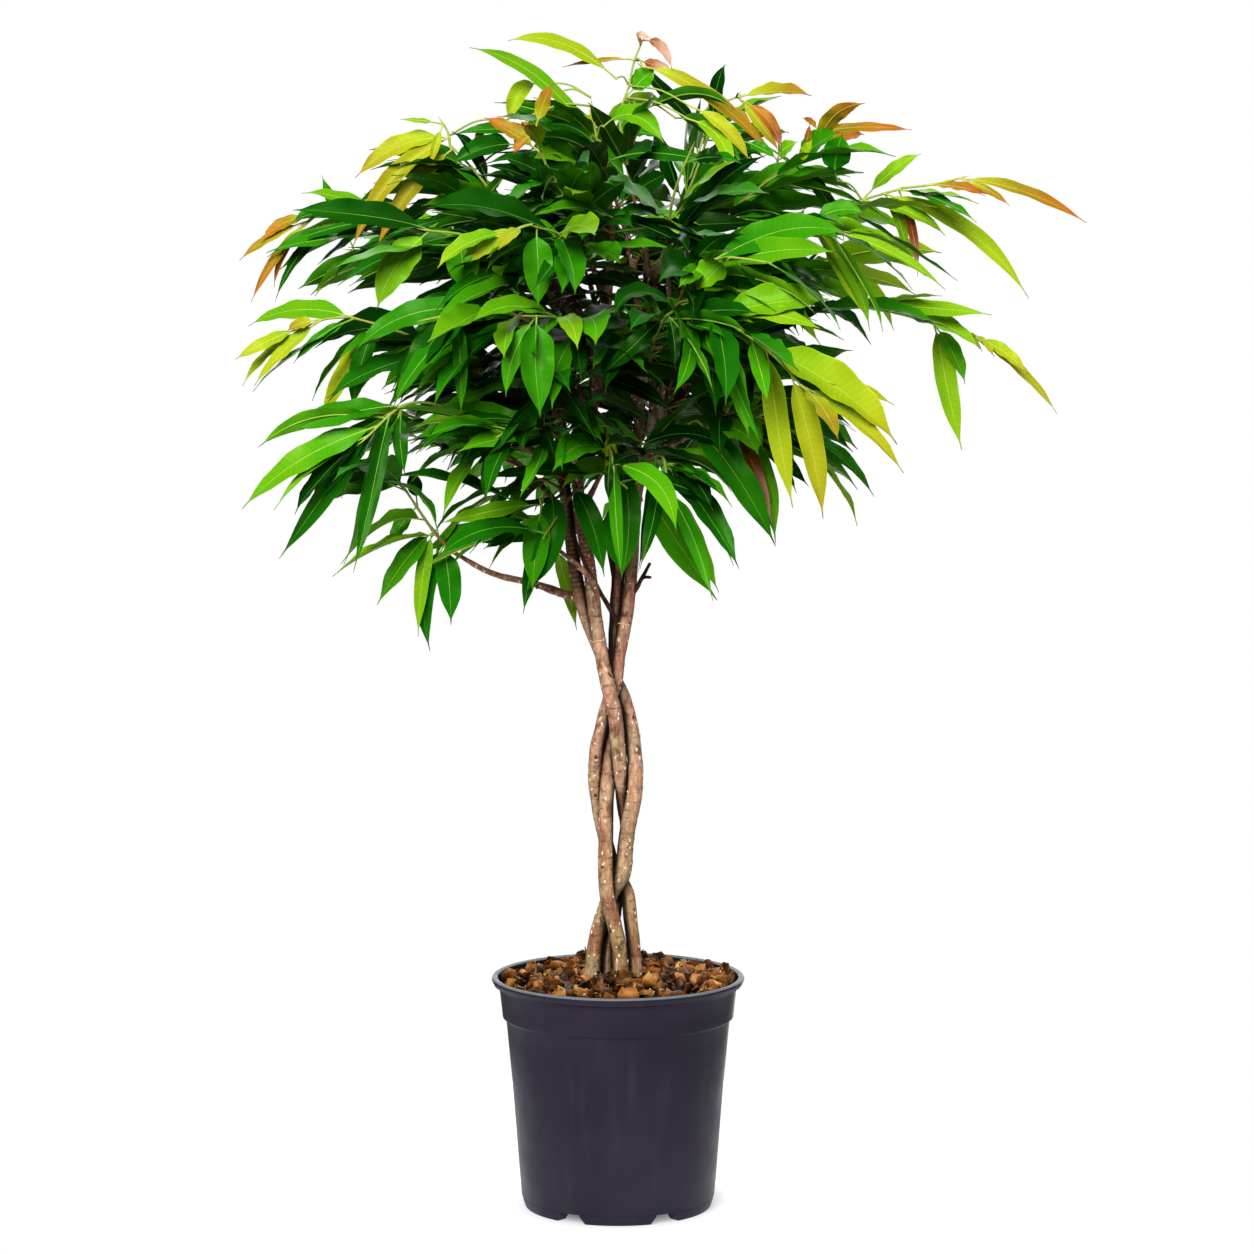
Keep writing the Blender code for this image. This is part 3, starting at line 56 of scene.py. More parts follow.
MM = 0.001
spray_nodes = sorted(name for name in nodes_of if name.startswith("spray_"))
tip_nodes = sorted(name for name in nodes_of if name.startswith("tip_"))
stem_nodes = sorted(name for name in nodes_of if name.startswith("stem_"))
print(len(spray_nodes), "sprays,", len(tip_nodes), "shoot tips,", len(stem_nodes), "stems")

# %% [markdown]
# ## Reading the places back
# A CAD node arrives as loose triangles. A copy is welded, and then each point knows its
# neighbours. Walking outwards from one end of a branch finds its rings of points one by one, so no
# list of places has to be typed twice.

# %% Weld a copy of a node and walk over it
WELD = 0.01 * MM


def welded(name):
    """A copy of a CAD node with its triangles joined: points, neighbours and triangles."""
    work = bmesh.new()
    work.from_mesh(nodes_of[name].data)
    bmesh.ops.remove_doubles(work, verts=work.verts, dist=WELD)
    work.verts.index_update()
    points = np.array([v.co[:] for v in work.verts])
    near = [{e.other_vert(v).index for e in v.link_edges} for v in work.verts]
    triangles = [[v.index for v in f.verts] for f in work.faces]
    work.free()
    return points, near, triangles


def walk(start, near, allowed=None, most=400):
    """Points in steps away from the start points, one list for each step."""
    seen = set(start)
    rings = [sorted(start)]
    while rings[-1] and len(rings) <= most:
        ahead = {n for v in rings[-1] for n in near[v]} - seen
        if allowed is not None:
            ahead &= allowed
        seen |= ahead
        rings.append(sorted(ahead))
    return [ring for ring in rings if ring]


# %% [markdown]
# ## Leaves and twigs of a spray
# A blade's tip is the only kind of point with four neighbours and then four steps of four points
# behind it: three cross-sections and the stalk's root. The twig is what is left. Its end caps are
# equal-sided triangles, and the larger one is where it joins the wood.

# %% Read the leaves
MIDDLE_SHARE = 0.42
EQUAL_SIDES = 1.02


def section(ring):
    """Centre, width and upward direction of a blade's ring of four points."""
    pairs = [(a, b) for a in range(4) for b in range(a)]
    left, right = max(pairs, key=lambda p: np.linalg.norm(ring[p[0]] - ring[p[1]]))
    others = [k for k in range(4) if k not in (left, right)]
    centre = ring[others].mean(0)
    up = (ring[left] + ring[right]) / 2 - centre
    return centre, np.linalg.norm(ring[left] - ring[right]), up / np.linalg.norm(up)


def read_leaves(points, near):
    """Each leaf as its root, its midrib's control point, its tip, its width and upper side."""
    leaves, used = [], set()
    for tip in range(len(points)):
        if len(near[tip]) != 4:
            continue
        rings = walk([tip], near, most=4)
        if [len(ring) for ring in rings[:5]] != [1, 4, 4, 4, 4]:
            continue
        root = points[rings[4]].mean(0)
        centre, width, up = section(points[rings[2]])
        far_up = section(points[rings[1]])[2]
        end = points[tip]
        t = MIDDLE_SHARE
        control = (centre - (1 - t) ** 2 * root - t * t * end) / (2 * t * (1 - t))
        leaves.append({"root": root, "control": control, "end": end, "width": width,
                       "up": up, "far_up": far_up})
        used.update([tip], *rings[1:4])
    return leaves, used


def centres_and_radii(rings):
    """Each ring's centre, and how far its points stand from it."""
    centres = np.array([ring.mean(0) for ring in rings])
    return centres, [np.linalg.norm(ring - centre, axis=1).mean()
                     for ring, centre in zip(rings, centres)]


def read_twig(points, near, triangles, used):
    """Centres and radii of a twig's rings, from the wood to its bud or its cut end."""
    caps = []
    for triangle in triangles:
        if used & set(triangle):
            continue
        a, b, c = points[triangle]
        sides = sorted(np.linalg.norm(side) for side in (a - b, b - c, c - a))
        if sides[2] < EQUAL_SIDES * sides[0]:
            caps.append((sides[2], triangle))
    rings = walk(max(caps)[1], near, allowed=set(range(len(points))) - used)
    return centres_and_radii([points[ring] for ring in rings])


sprays = {}
for name in spray_nodes + tip_nodes:
    points, near, triangles = welded(name)
    leaves, used = read_leaves(points, near)
    centres, radii = read_twig(points, near, triangles, used)
    sprays[name] = {"leaves": leaves, "centres": centres, "radii": radii}
print(sum(len(s["leaves"]) for s in sprays.values()), "leaves read from the frame")

# %% Read the stems and limbs
LIMB_END = 4 * MM


def read_stem(name, starts):
    """Centres and radii of a stem's rings from its foot up, and those of each of its limbs."""
    points, near, _ = welded(name)
    foot = points[:, 2].min()
    bottom = [v for v in range(len(points)) if points[v, 2] < foot + 0.1 * MM]
    limbs, used = {}, set()
    for spray, start in starts.items():
        away = np.linalg.norm(points - start, axis=1)
        cap = [v for v in range(len(points)) if away[v] < 1.25 * away.min()]
        if away.min() <= LIMB_END and len(cap) == 4:
            rings = walk(cap, near, most=3)
            limbs[spray] = centres_and_radii([points[ring] for ring in rings[3::-1]])
            used.update(*rings[:3])
    rings = walk(bottom, near, allowed=set(range(len(points))) - used)
    centres, radii = centres_and_radii([points[ring] for ring in rings])
    return {"centres": centres, "radii": radii, "limbs": limbs}


twig_feet = {name: sprays[name]["centres"][0] for name in spray_nodes}
stems = {name: read_stem(name, twig_feet) for name in stem_nodes}
for name, stem in stems.items():
    print(name, len(stem["centres"]), "rings,", len(stem["limbs"]), "limbs")

# %% [markdown]
# ## Smooth paths
# Twigs, stems and midribs all follow a few known points. A cubic through those points, with its
# slopes weighed by the distances between them, stays smooth where the points are uneven. The
# paths become open lines whose points carry values, and Geometry Nodes sweep them.

# %% Path helpers


def smooth_path(points, spacing, *values):
    """Evenly spaced points on a smooth line through the given ones, and each value along it."""
    points = np.array(points, float)
    gaps = np.linalg.norm(np.diff(points, axis=0), axis=1)
    knots = np.concatenate([[0], np.cumsum(gaps)])
    slopes = np.diff(points, axis=0) / gaps[:, None]
    inner = (slopes[:-1] * gaps[1:, None] + slopes[1:] * gaps[:-1, None])
    inner /= (gaps[1:] + gaps[:-1])[:, None]
    tangents = np.vstack([slopes[:1], inner, slopes[-1:]])
    stops = np.linspace(0, knots[-1], max(int(round(knots[-1] / spacing)), 2) + 1)
    span = np.clip(np.searchsorted(knots, stops, side="right") - 1, 0, len(gaps) - 1)
    width = gaps[span][:, None]
    t = ((stops - knots[span]) / gaps[span])[:, None]
    line = ((2 * t ** 3 - 3 * t ** 2 + 1) * points[span]
            + (t ** 3 - 2 * t ** 2 + t) * width * tangents[span]
            + (3 * t ** 2 - 2 * t ** 3) * points[span + 1]
            + (t ** 3 - t ** 2) * width * tangents[span + 1])
    return line, stops, [np.interp(stops, knots, value) for value in values]


def linked(name, data):
    """A new object in the scene."""
    made = bpy.data.objects.new(name, data)
    bpy.context.scene.collection.objects.link(made)
    return made


def lines_object(name, lines):
    """One object of open lines. Each is its points and the named values that they carry."""
    points, edges = [], []
    for line, _ in lines:
        first = len(points)
        points.extend(line)
        edges.extend((first + k, first + k + 1) for k in range(len(line) - 1))
    mesh = bpy.data.meshes.new(name)
    mesh.from_pydata([tuple(p) for p in points], edges, [])
    for label in lines[0][1]:
        data = np.concatenate([np.asarray(values[label], np.float32) for _, values in lines])
        vector = data.ndim == 2
        layer = mesh.attributes.new(label, "FLOAT_VECTOR" if vector else "FLOAT", "POINT")
        layer.data.foreach_set("vector" if vector else "value", data.ravel())
    return linked(name, mesh)


# %% [markdown]
# ## Helpers for node trees
# Geometry trees and materials are both built from nodes. These few functions add one node with its
# settings, join it to others, and turn a finished tree's result into a plain mesh.

# %% Node helpers


def node(tree, kind, inputs=None, **settings):
    """One node. inputs pairs a socket's name or number with a value or another node's output."""
    made = tree.nodes.new(kind)
    for key, value in settings.items():
        setattr(made, key, value)
    for key, value in (inputs or {}).items():
        if isinstance(value, bpy.types.NodeSocket):
            tree.links.new(value, made.inputs[key])
        else:
            made.inputs[key].default_value = value
    return made


def maths(tree, operation, *values):
    """The result of a Math node on numbers or sockets."""
    return node(tree, "ShaderNodeMath", dict(enumerate(values)), operation=operation).outputs[0]


def product(tree, first, *others):
    """Numbers or sockets multiplied together."""
    for other in others:
        first = maths(tree, "MULTIPLY", first, other)
    return first


def vectors(tree, operation, *values):
    """The vector that a Vector Math node makes of vectors or sockets."""
    made = node(tree, "ShaderNodeVectorMath", dict(enumerate(values)), operation=operation)
    return made.outputs["Value" if operation in ("DOT_PRODUCT", "LENGTH") else "Vector"]


def scaled(tree, vector, factor):
    """A vector times a number."""
    made = node(tree, "ShaderNodeVectorMath", {"Vector": vector, "Scale": factor},
                operation="SCALE")
    return made.outputs["Vector"]


def curve_of(tree, factor, points):
    """A Float Curve through (place, height) points, read at the factor."""
    made = node(tree, "ShaderNodeFloatCurve", {"Value": factor})
    curve = made.mapping.curves[0]
    while len(curve.points) < len(points):
        curve.points.new(0.5, 0.5)
    for point, place in zip(curve.points, points):
        point.location = place
    made.mapping.update()
    return made.outputs["Value"]


# %% Trees with named inputs
SOCKETS = {float: "NodeSocketFloat", int: "NodeSocketInt", str: "NodeSocketMaterial"}


def geometry_tree(name, **inputs):
    """A Geometry Nodes tree with named inputs. A text stands for a material."""
    tree = bpy.data.node_groups.new(name, "GeometryNodeTree")
    tree.interface.new_socket("Lines", in_out="INPUT", socket_type="NodeSocketGeometry")
    for label, value in inputs.items():
        kind = SOCKETS[type(value)]
        socket = tree.interface.new_socket(label, in_out="INPUT", socket_type=kind)
        if kind != "NodeSocketMaterial":
            socket.default_value = value
    tree.interface.new_socket("Result", in_out="OUTPUT", socket_type="NodeSocketGeometry")
    return tree, tree.nodes.new("NodeGroupInput").outputs


def named(tree, label, kind="FLOAT"):
    """A named attribute's value."""
    made = node(tree, "GeometryNodeInputNamedAttribute", {"Name": label}, data_type=kind)
    return made.outputs["Attribute"]


def stored(tree, geometry, label, value, kind="FLOAT", domain="POINT"):
    """The geometry with a value kept at every point under a name."""
    return node(tree, "GeometryNodeStoreNamedAttribute",
                {"Geometry": geometry, "Name": label, "Value": value},
                data_type=kind, domain=domain).outputs["Geometry"]


def finished(tree, geometry):
    """Closes a tree: its result is real geometry."""
    real = node(tree, "GeometryNodeRealizeInstances", {"Geometry": geometry})
    node(tree, "NodeGroupOutput", {"Result": real.outputs[0]})


# %% Geometry from nodes


def field(tree, kind):
    """What each point knows of itself: its Position, Normal or Tangent."""
    return node(tree, "GeometryNodeInput" + kind).outputs[0]


def parts_of(tree, vector):
    """A vector's X, Y and Z."""
    return node(tree, "ShaderNodeSeparateXYZ", {0: vector}).outputs


def vector_of(tree, **parts):
    """A vector from its X, Y and Z."""
    return node(tree, "ShaderNodeCombineXYZ", parts).outputs[0]


def curves_of(tree, lines):
    """The given lines as curves."""
    return node(tree, "GeometryNodeMeshToCurve", {"Mesh": lines}).outputs[0]


def circle(tree, sides):
    """A round profile with a radius of 1."""
    return node(tree, "GeometryNodeCurvePrimitiveCircle",
                {"Resolution": sides, "Radius": 1.0}).outputs[0]


def swept(tree, line, profile, radius):
    """A profile swept along lines, with closed ends."""
    return node(tree, "GeometryNodeCurveToMesh", {
        "Curve": line, "Profile Curve": profile, "Scale": radius, "Fill Caps": True}).outputs[0]


def moved(tree, geometry, **how):
    """The geometry with its points set to a Position or shifted by an Offset."""
    return node(tree, "GeometryNodeSetPosition", {"Geometry": geometry, **how}).outputs[0]


def painted(tree, geometry, finish):
    """The geometry in one finish."""
    return node(tree, "GeometryNodeSetMaterial",
                {"Geometry": geometry, "Material": finish}).outputs[0]


def joined(tree, *parts):
    """Several geometries as one."""
    join = node(tree, "GeometryNodeJoinGeometry")
    for part in parts:
        tree.links.new(part, join.inputs[0])
    return join.outputs[0]


def chance(tree, low, high, seed):
    """A random number for each point or instance."""
    return node(tree, "FunctionNodeRandomValue", {2: low, 3: high, "Seed": seed}).outputs[1]


def scattered(tree, mesh, spacing, density, seed, where):
    """Points over a mesh, none closer together than the spacing."""
    return node(tree, "GeometryNodeDistributePointsOnFaces", {
        "Mesh": mesh, "Distance Min": spacing, "Density Max": density, "Seed": seed, **where},
        distribute_method="POISSON").outputs


# %% From a tree to a mesh


def grown(piece, tree, **values):
    """The piece with its mesh replaced by what the tree makes of it."""
    modifier = piece.modifiers.new(tree.name, "NODES")
    modifier.node_group = tree
    for item in tree.interface.items_tree:
        if item.item_type == "SOCKET" and item.in_out == "INPUT" and item.name in values:
            modifier[item.identifier] = values[item.name]
    graph = bpy.context.evaluated_depsgraph_get()
    mesh = bpy.data.meshes.new_from_object(piece.evaluated_get(graph), depsgraph=graph)
    piece.modifiers.remove(modifier)
    piece.data = mesh
    mesh.name = piece.name
    return piece


def shaded(piece, degrees):
    """Smooth shading, with edges kept sharp past an angle."""
    piece.data.shade_smooth()
    piece.data.set_sharp_from_angle(angle=math.radians(degrees))
    return piece


def triangles_of(piece):
    """How many triangles a piece's mesh has."""
    return sum(len(face.vertices) - 2 for face in piece.data.polygons)


def tell(piece):
    """Prints what was made."""
    print(piece.name, triangles_of(piece), "triangles")


# %% [markdown]
# ## Material helpers
# Every finish is a Principled shader fed by a few procedural nodes. Colours that change over a
# surface come from noise in object space or from values that the geometry carries with it.

# %% Material helpers


def material(name, roughness, specular):
    """A material, its tree and its Principled shader, with the constants on its own sockets."""
    made = bpy.data.materials.new(name)
    made.use_nodes = True
    tree = made.node_tree
    tree.nodes.clear()
    shader = node(tree, "ShaderNodeBsdfPrincipled",
                  {"Roughness": roughness, "Specular IOR Level": specular})
    node(tree, "ShaderNodeOutputMaterial", {"Surface": shader.outputs[0]})
    return made, tree, shader


def carried(tree, label):
    """A number that the geometry carries under a name."""
    return node(tree, "ShaderNodeAttribute", attribute_name=label).outputs["Fac"]


def object_place(tree, stretch=(1, 1, 1)):
    """Object coordinates, stretched along the axes."""
    place = node(tree, "ShaderNodeTexCoord").outputs["Object"]
    return node(tree, "ShaderNodeMapping", {"Vector": place, "Scale": stretch}).outputs[0]


def height_of(tree):
    """A point's height in the piece's own space."""
    return parts_of(tree, node(tree, "ShaderNodeTexCoord").outputs["Object"])["Z"]


def noise(tree, scale, detail=3.0, stretch=(1, 1, 1)):
    """Noise from 0 to 1 in object space."""
    return node(tree, "ShaderNodeTexNoise", {"Vector": object_place(tree, stretch), "Scale": scale,
                                             "Detail": detail, "Roughness": 0.55}).outputs["Fac"]


def mottle(tree, scale, detail, amount):
    """Noise either side of zero."""
    return product(tree, maths(tree, "SUBTRACT", noise(tree, scale, detail), 0.5), amount)


# %% Colours and relief


def ramp(tree, factor, stops):
    """A colour ramp with (place, colour) stops."""
    made = node(tree, "ShaderNodeValToRGB", {"Fac": factor})
    marks = made.color_ramp.elements
    while len(marks) < len(stops):
        marks.new(0.5)
    for mark, (place, colour) in zip(marks, stops):
        mark.position = place
        mark.color = (*colour, 1)
    return made.outputs["Color"]


def blended(tree, factor, a, b, mode="MIX"):
    """Two colours mixed by a factor. Each is a socket or three numbers."""
    made = node(tree, "ShaderNodeMix", data_type="RGBA", blend_type=mode)
    for key, value in ((0, factor), (6, a), (7, b)):
        if isinstance(value, bpy.types.NodeSocket):
            tree.links.new(value, made.inputs[key])
        else:
            made.inputs[key].default_value = value if key == 0 else (*value, 1)
    return made.outputs[2]


def between(tree, value, low, high, start=0.0, end=1.0):
    """A value taken from low..high to start..end, held at both ends."""
    return node(tree, "ShaderNodeMapRange", {"Value": value, "From Min": low, "From Max": high,
                                             "To Min": start, "To Max": end}).outputs["Result"]


def patches(tree, scale, detail, low, high, start=0.0, end=1.0, stretch=(1, 1, 1)):
    """Noise taken from low..high to start..end, which makes patches of it."""
    return between(tree, noise(tree, scale, detail, stretch), low, high, start, end)


def tinted(tree, colour, other, *shares):
    """A colour turned towards another by the product of the shares."""
    return blended(tree, product(tree, *shares), colour, other)


def darkened(tree, colour, other):
    """A colour multiplied by another, or by a grey value."""
    if isinstance(other, bpy.types.NodeSocket) and other.type == "VALUE":
        other = node(tree, "ShaderNodeCombineColor",
                     {"Red": other, "Green": other, "Blue": other}).outputs[0]
    return blended(tree, 1.0, colour, other, "MULTIPLY")


def surface(tree, shader, colour, height, distance, strength):
    """Gives the shader its colour, and fine relief from a height, that many metres deep."""
    bump = node(tree, "ShaderNodeBump", {"Height": height, "Distance": distance,
                                         "Strength": strength})
    tree.links.new(colour, shader.inputs["Base Color"])
    tree.links.new(bump.outputs[0], shader.inputs["Normal"])


# %% [markdown]
# ## Leaf finish
# A ficus leaf opens copper, turns yellow-green and ages to a deep, waxy green. One number, its
# age, runs through that scale. Side veins, a pale margin, a paler underside and the brown drip tip
# come from values that the blade carries: how far along it, how far across, and which side.

# %% Leaf materials
# the darkest ages, near black, are also painted shade for leaves deep inside the crown
AGES = [(0.00, (0.62, 0.38, 0.30)), (0.12, (0.24, 0.050, 0.012)), (0.24, (0.42, 0.135, 0.014)),
        (0.36, (0.29, 0.205, 0.010)), (0.48, (0.38, 0.455, 0.012)), (0.60, (0.200, 0.420, 0.007)),
        (0.72, (0.060, 0.320, 0.003)), (0.84, (0.011, 0.165, 0.002)),
        (0.93, (0.0035, 0.060, 0.0015)), (1.00, (0.0012, 0.026, 0.001))]
RIB_AGES = [(0.00, (0.60, 0.32, 0.20)), (0.20, (0.52, 0.30, 0.06)), (0.40, (0.62, 0.54, 0.09)),
            (0.60, (0.52, 0.64, 0.08)), (0.80, (0.27, 0.56, 0.07)), (1.00, (0.09, 0.29, 0.03))]
VEIN_STEP, VEIN_WIDTH, VEIN_SLANT, VEIN_WOBBLE = 3.4 * MM, 1.1 * MM, 6 * MM, 3 * MM


def blade_finish(name):
    """The blade's waxy surface, coloured by the age that each leaf carries."""
    made, tree, shader = material(name, roughness=0.34, specular=0.16)
    shader.inputs["Specular Tint"].default_value = (0.50, 1.0, 0.25, 1.0)
    away = maths(tree, "ABSOLUTE", carried(tree, "across"))
    age = maths(tree, "ADD", carried(tree, "age"), mottle(tree, 14.0, 2.0, 0.12))
    colour = ramp(tree, age, AGES)
    slant = maths(tree, "SUBTRACT", carried(tree, "reach"), product(tree, away, VEIN_SLANT))
    wobble = product(tree, noise(tree, 60.0, 1.0), VEIN_WOBBLE)
    stripe = maths(tree, "PINGPONG", maths(tree, "ADD", slant, wobble), VEIN_STEP)
    vein = between(tree, stripe, 0.0, VEIN_WIDTH, 1.0, 0.0)
    pale = darkened(tree, colour, (1.9, 1.45, 1.0))
    colour = tinted(tree, colour, pale, vein, 0.20)
    colour = tinted(tree, colour, pale, between(tree, away, 0.90, 1.0, 0.0, 0.45))
    below = between(tree, carried(tree, "above"), -0.02, 0.02, 1.0, 0.0)
    colour = tinted(tree, colour, tinted(tree, pale, (0.22, 0.36, 0.03), 0.14), below, 0.65)
    dry = between(tree, carried(tree, "along"), 0.955, 0.985)
    colour = tinted(tree, colour, (0.085, 0.032, 0.012), dry)
    relief = maths(tree, "ADD", product(tree, vein, -0.5), noise(tree, 140.0, 2.0))
    surface(tree, shader, colour, relief, 0.12 * MM, 0.6)
    return made


def rib_finish(name):
    """The pale midrib and the stalk."""
    made, tree, shader = material(name, roughness=0.45, specular=0.18)
    dry = between(tree, carried(tree, "along"), 0.90, 0.98)
    colour = tinted(tree, ramp(tree, carried(tree, "age"), RIB_AGES), (0.10, 0.035, 0.014), dry)
    colour = darkened(tree, colour, patches(tree, 90.0, 3.0, 0.3, 0.7, 0.82, 1.12))
    surface(tree, shader, colour, noise(tree, 400.0, 2.0), 0.1 * MM, 0.5)
    return made


leaf_finishes = {kind: blade_finish("leaf_" + kind) for kind in ("mature", "young", "copper")}
rib_material = rib_finish("leaf_midrib")
print(len(leaf_finishes), "blade finishes")

# %% [markdown]
# ## The leaf tree
# Each leaf starts as one line, its stalk and midrib. The tree keeps the part beyond the stalk,
# sweeps a flat profile along it, and widens that by a lance-shaped outline with a long drip tip.
# Then it folds the blade at the midrib, waves its margins and gives it a thickness. Both skins are
# cut into triangles along matching diagonals, so a thin, bent blade never pokes through itself. A
# second sweep along the whole line makes the stalk and the raised midrib.

# %% Build the leaf tree
OUTLINE = [(0.0, 0.07), (0.04, 0.27), (0.12, 0.66), (0.24, 0.93), (0.38, 1.0), (0.54, 0.96),
           (0.70, 0.78), (0.81, 0.51), (0.885, 0.22), (0.93, 0.08), (1.0, 0.02)]
STALK = [(0.0, 0.80), (0.07, 0.76), (0.15, 0.68), (0.5, 0.58), (0.8, 0.42), (1.0, 0.20)]


def leaf_tree():
    """Lines with up, half_width, along, span, fold, age, reach and phase become leaves."""
    tree, given = geometry_tree("leaf", Thickness=0.40 * MM, Wave=0.14, Waves=3.2,
                                Stalk=1.25 * MM, Blade="", Rib="")
    line = curves_of(tree, given["Lines"])
    along, up = named(tree, "along"), named(tree, "up", "FLOAT_VECTOR")
    tangent = field(tree, "Tangent")
    lean = scaled(tree, tangent, vectors(tree, "DOT_PRODUCT", up, tangent))
    square = vectors(tree, "NORMALIZE", vectors(tree, "SUBTRACT", up, lean))
    line = node(tree, "GeometryNodeSetCurveNormal", {"Curve": line, "Normal": square},
                mode="FREE").outputs[0]
    line = stored(tree, line, "up", square, "FLOAT_VECTOR")

    # Blade: a flat profile whose points know which side they are on
    off_blade = maths(tree, "LESS_THAN", along, -0.001)
    blade = node(tree, "GeometryNodeDeleteGeometry", {"Geometry": line, "Selection": off_blade},
                 domain="POINT").outputs[0]
    parts = parts_of(tree, field(tree, "Position"))
    profile = stored(tree, circle(tree, 12), "above", parts["X"])
    profile = stored(tree, profile, "across", parts["Y"])
    profile = moved(tree, profile, Position=vector_of(tree, Y=parts["Y"]))
    breadth = product(tree, named(tree, "half_width"), curve_of(tree, along, OUTLINE))
    blade = swept(tree, stored(tree, blade, "breadth", breadth), profile, breadth)
    across = maths(tree, "ABSOLUTE", named(tree, "across"))
    fold = product(tree, named(tree, "fold"), maths(tree, "POWER", across, 1.35))
    turn = product(tree, given["Waves"], 2 * math.pi, along)
    side = maths(tree, "ADD", named(tree, "phase"), product(tree, named(tree, "across"), 1.1))
    wave = maths(tree, "SINE", maths(tree, "ADD", turn, side))
    wave = product(tree, given["Wave"], maths(tree, "POWER", across, 2.0), wave)
    rise = product(tree, named(tree, "breadth"), maths(tree, "ADD", fold, wave))
    skin = product(tree, given["Thickness"], 0.5, named(tree, "above"))
    offset = scaled(tree, named(tree, "up", "FLOAT_VECTOR"), maths(tree, "ADD", rise, skin))
    blade = moved(tree, blade, Offset=offset)
    upper = maths(tree, "GREATER_THAN", named(tree, "above"), 0.0)
    blade = node(tree, "GeometryNodeTriangulate", {"Mesh": blade, "Selection": upper},
                 quad_method="FIXED").outputs[0]
    blade = node(tree, "GeometryNodeTriangulate", {"Mesh": blade},
                 quad_method="FIXED_ALTERNATE").outputs[0]
    blade = painted(tree, blade, given["Blade"])

    # Stalk and midrib
    girth = product(tree, given["Stalk"], curve_of(tree, named(tree, "span"), STALK))
    drop = product(tree, girth, between(tree, along, -0.02, 0.08, 0.0, -0.35))
    stem = moved(tree, line, Offset=scaled(tree, square, drop))
    stem = painted(tree, swept(tree, stem, circle(tree, 6), girth), given["Rib"])
    finished(tree, joined(tree, stem, blade))
    return tree


leaf_maker = leaf_tree()
print("leaf tree:", len(leaf_maker.nodes), "nodes")

# %% [markdown]
# ## Growing the leaves
# Most leaves stand where the frame has them. The real crown is denser than a light CAD model can
# be, so each spray also gets filling leaves by a seeded rule: they leave the same twig and stay
# inside that spray's own box. A few CAD leaves that would hide the upper trunk or spoil the crown's
# outline are left out, and the ones before the trunk are slimmer, so the braid stays in sight.

# %% Leaf lines
BLADE_POINTS = 15
STALK_LENGTH = 12 * MM
CROWN_MIDDLE, CROWN_SIZE = np.array([0.0, 0.0, 0.88]), np.array([0.42, 0.36, 0.37])
CROWN_FOOT, CROWN_TOP = 0.72, 1.15
CROWN_EDGE, RIGHT_SIDE = (0.42, 0.97), (0.12, 0.37)
FOOT_SIDE, TOP_SIDE = (0.82, 0.72), (1.02, 1.12)
INNER_AGE, OUTER_AGE, GREEN_AGE, YOUNG_AGE, COPPER_AGE = 0.98, 0.77, 0.61, 0.525, 0.31
RIGHT_YOUNGER, FOOT_YOUNGER, TOP_OLDER, AGE_SPREAD = 0.13, 0.08, 0.07, 0.105
FADES = {"mature": 0.04, "young": 0.14, "copper": 0.24}
COPPER_TIPS = ("left_up", "top", "top_right", "right_up", "right", "top_front")
FILLING, TOP_FILLING, RIGHT_THINNER, HIGHEST_FILLING = 1.5, 0.95, 0.75, 1.19
WIDTH_SHARE, BEFORE_TRUNK_SHARE = 0.90, 0.60
LEFT_OUT = {("spray_top", 4), ("spray_top", 5), ("tip_top", 0), ("spray_top_left", 0),
            ("spray_front_low", 1), ("spray_front_low", 5), ("spray_front_low_right", 6)}
TRUNK_VIEW = (-0.085, 0.070), (0.60, 0.790)
SIDE_BEND, TIP_HOOK, TWIST, FOLD = 0.045, 0.07, 0.42, (0.04, 0.55)
FILLING_LENGTH, FILLING_WIDTH = (105, 185), (0.135, 0.20)
EYE = np.array([0.0096, -4.5, 1.10])
UP = np.array([0.0, 0.0, 1.0])


def from_front(point):
    """Where a point is seen from the front, on the upright plane through the trunk."""
    seen = EYE + (point - EYE) * EYE[1] / (EYE[1] - point[1])
    return seen[[0, 2]]


def before_trunk(point):
    """True where a leaf would hide the upper trunk from the front."""
    x, z = from_front(point)
    (left, right), (low, high) = TRUNK_VIEW
    return left < x < right and low < z < high and point[1] < 0


def short(name):
    """A node's name without its kind."""
    return name.split("_", 1)[1]


def kind_of(name):
    """Which of the three leaf finishes a spray wears."""
    if name.startswith("spray_"):
        return "mature"
    return "copper" if short(name) in COPPER_TIPS else "young"


def unit(vector):
    """A vector of length one."""
    return vector / np.linalg.norm(vector)


def square_to(face, direction):
    """The part of a vector that is square to a direction, with a length of one."""
    return unit(face - direction * face.dot(direction))


def share_of(value, start, end):
    """How far a value has come from start to end, held between 0 and 1."""
    return np.clip((value - start) / (end - start), 0, 1)


def poise(height):
    """From 0 for the hanging leaves at the crown's foot to 1 for the level ones at its top."""
    return share_of(height, CROWN_FOOT, CROWN_TOP)


# %% A mature leaf's age


def mature_age(leaf, draw):
    """Leaves deep in the crown are the oldest, and those at its edge the youngest.
    The near-black of the oldest also serves as painted shade deep inside the crown.
    """
    x, _, z = leaf["end"]
    out = share_of(np.linalg.norm((leaf["end"] - CROWN_MIDDLE) / CROWN_SIZE), *CROWN_EDGE)
    age = INNER_AGE + (OUTER_AGE - INNER_AGE) * out + draw.normal(0, AGE_SPREAD)
    age -= RIGHT_YOUNGER * share_of(x, *RIGHT_SIDE)
    age -= FOOT_YOUNGER * share_of(z, *FOOT_SIDE)
    return max(age + TOP_OLDER * share_of(z, *TOP_SIDE), GREEN_AGE)


# %% The line of one leaf


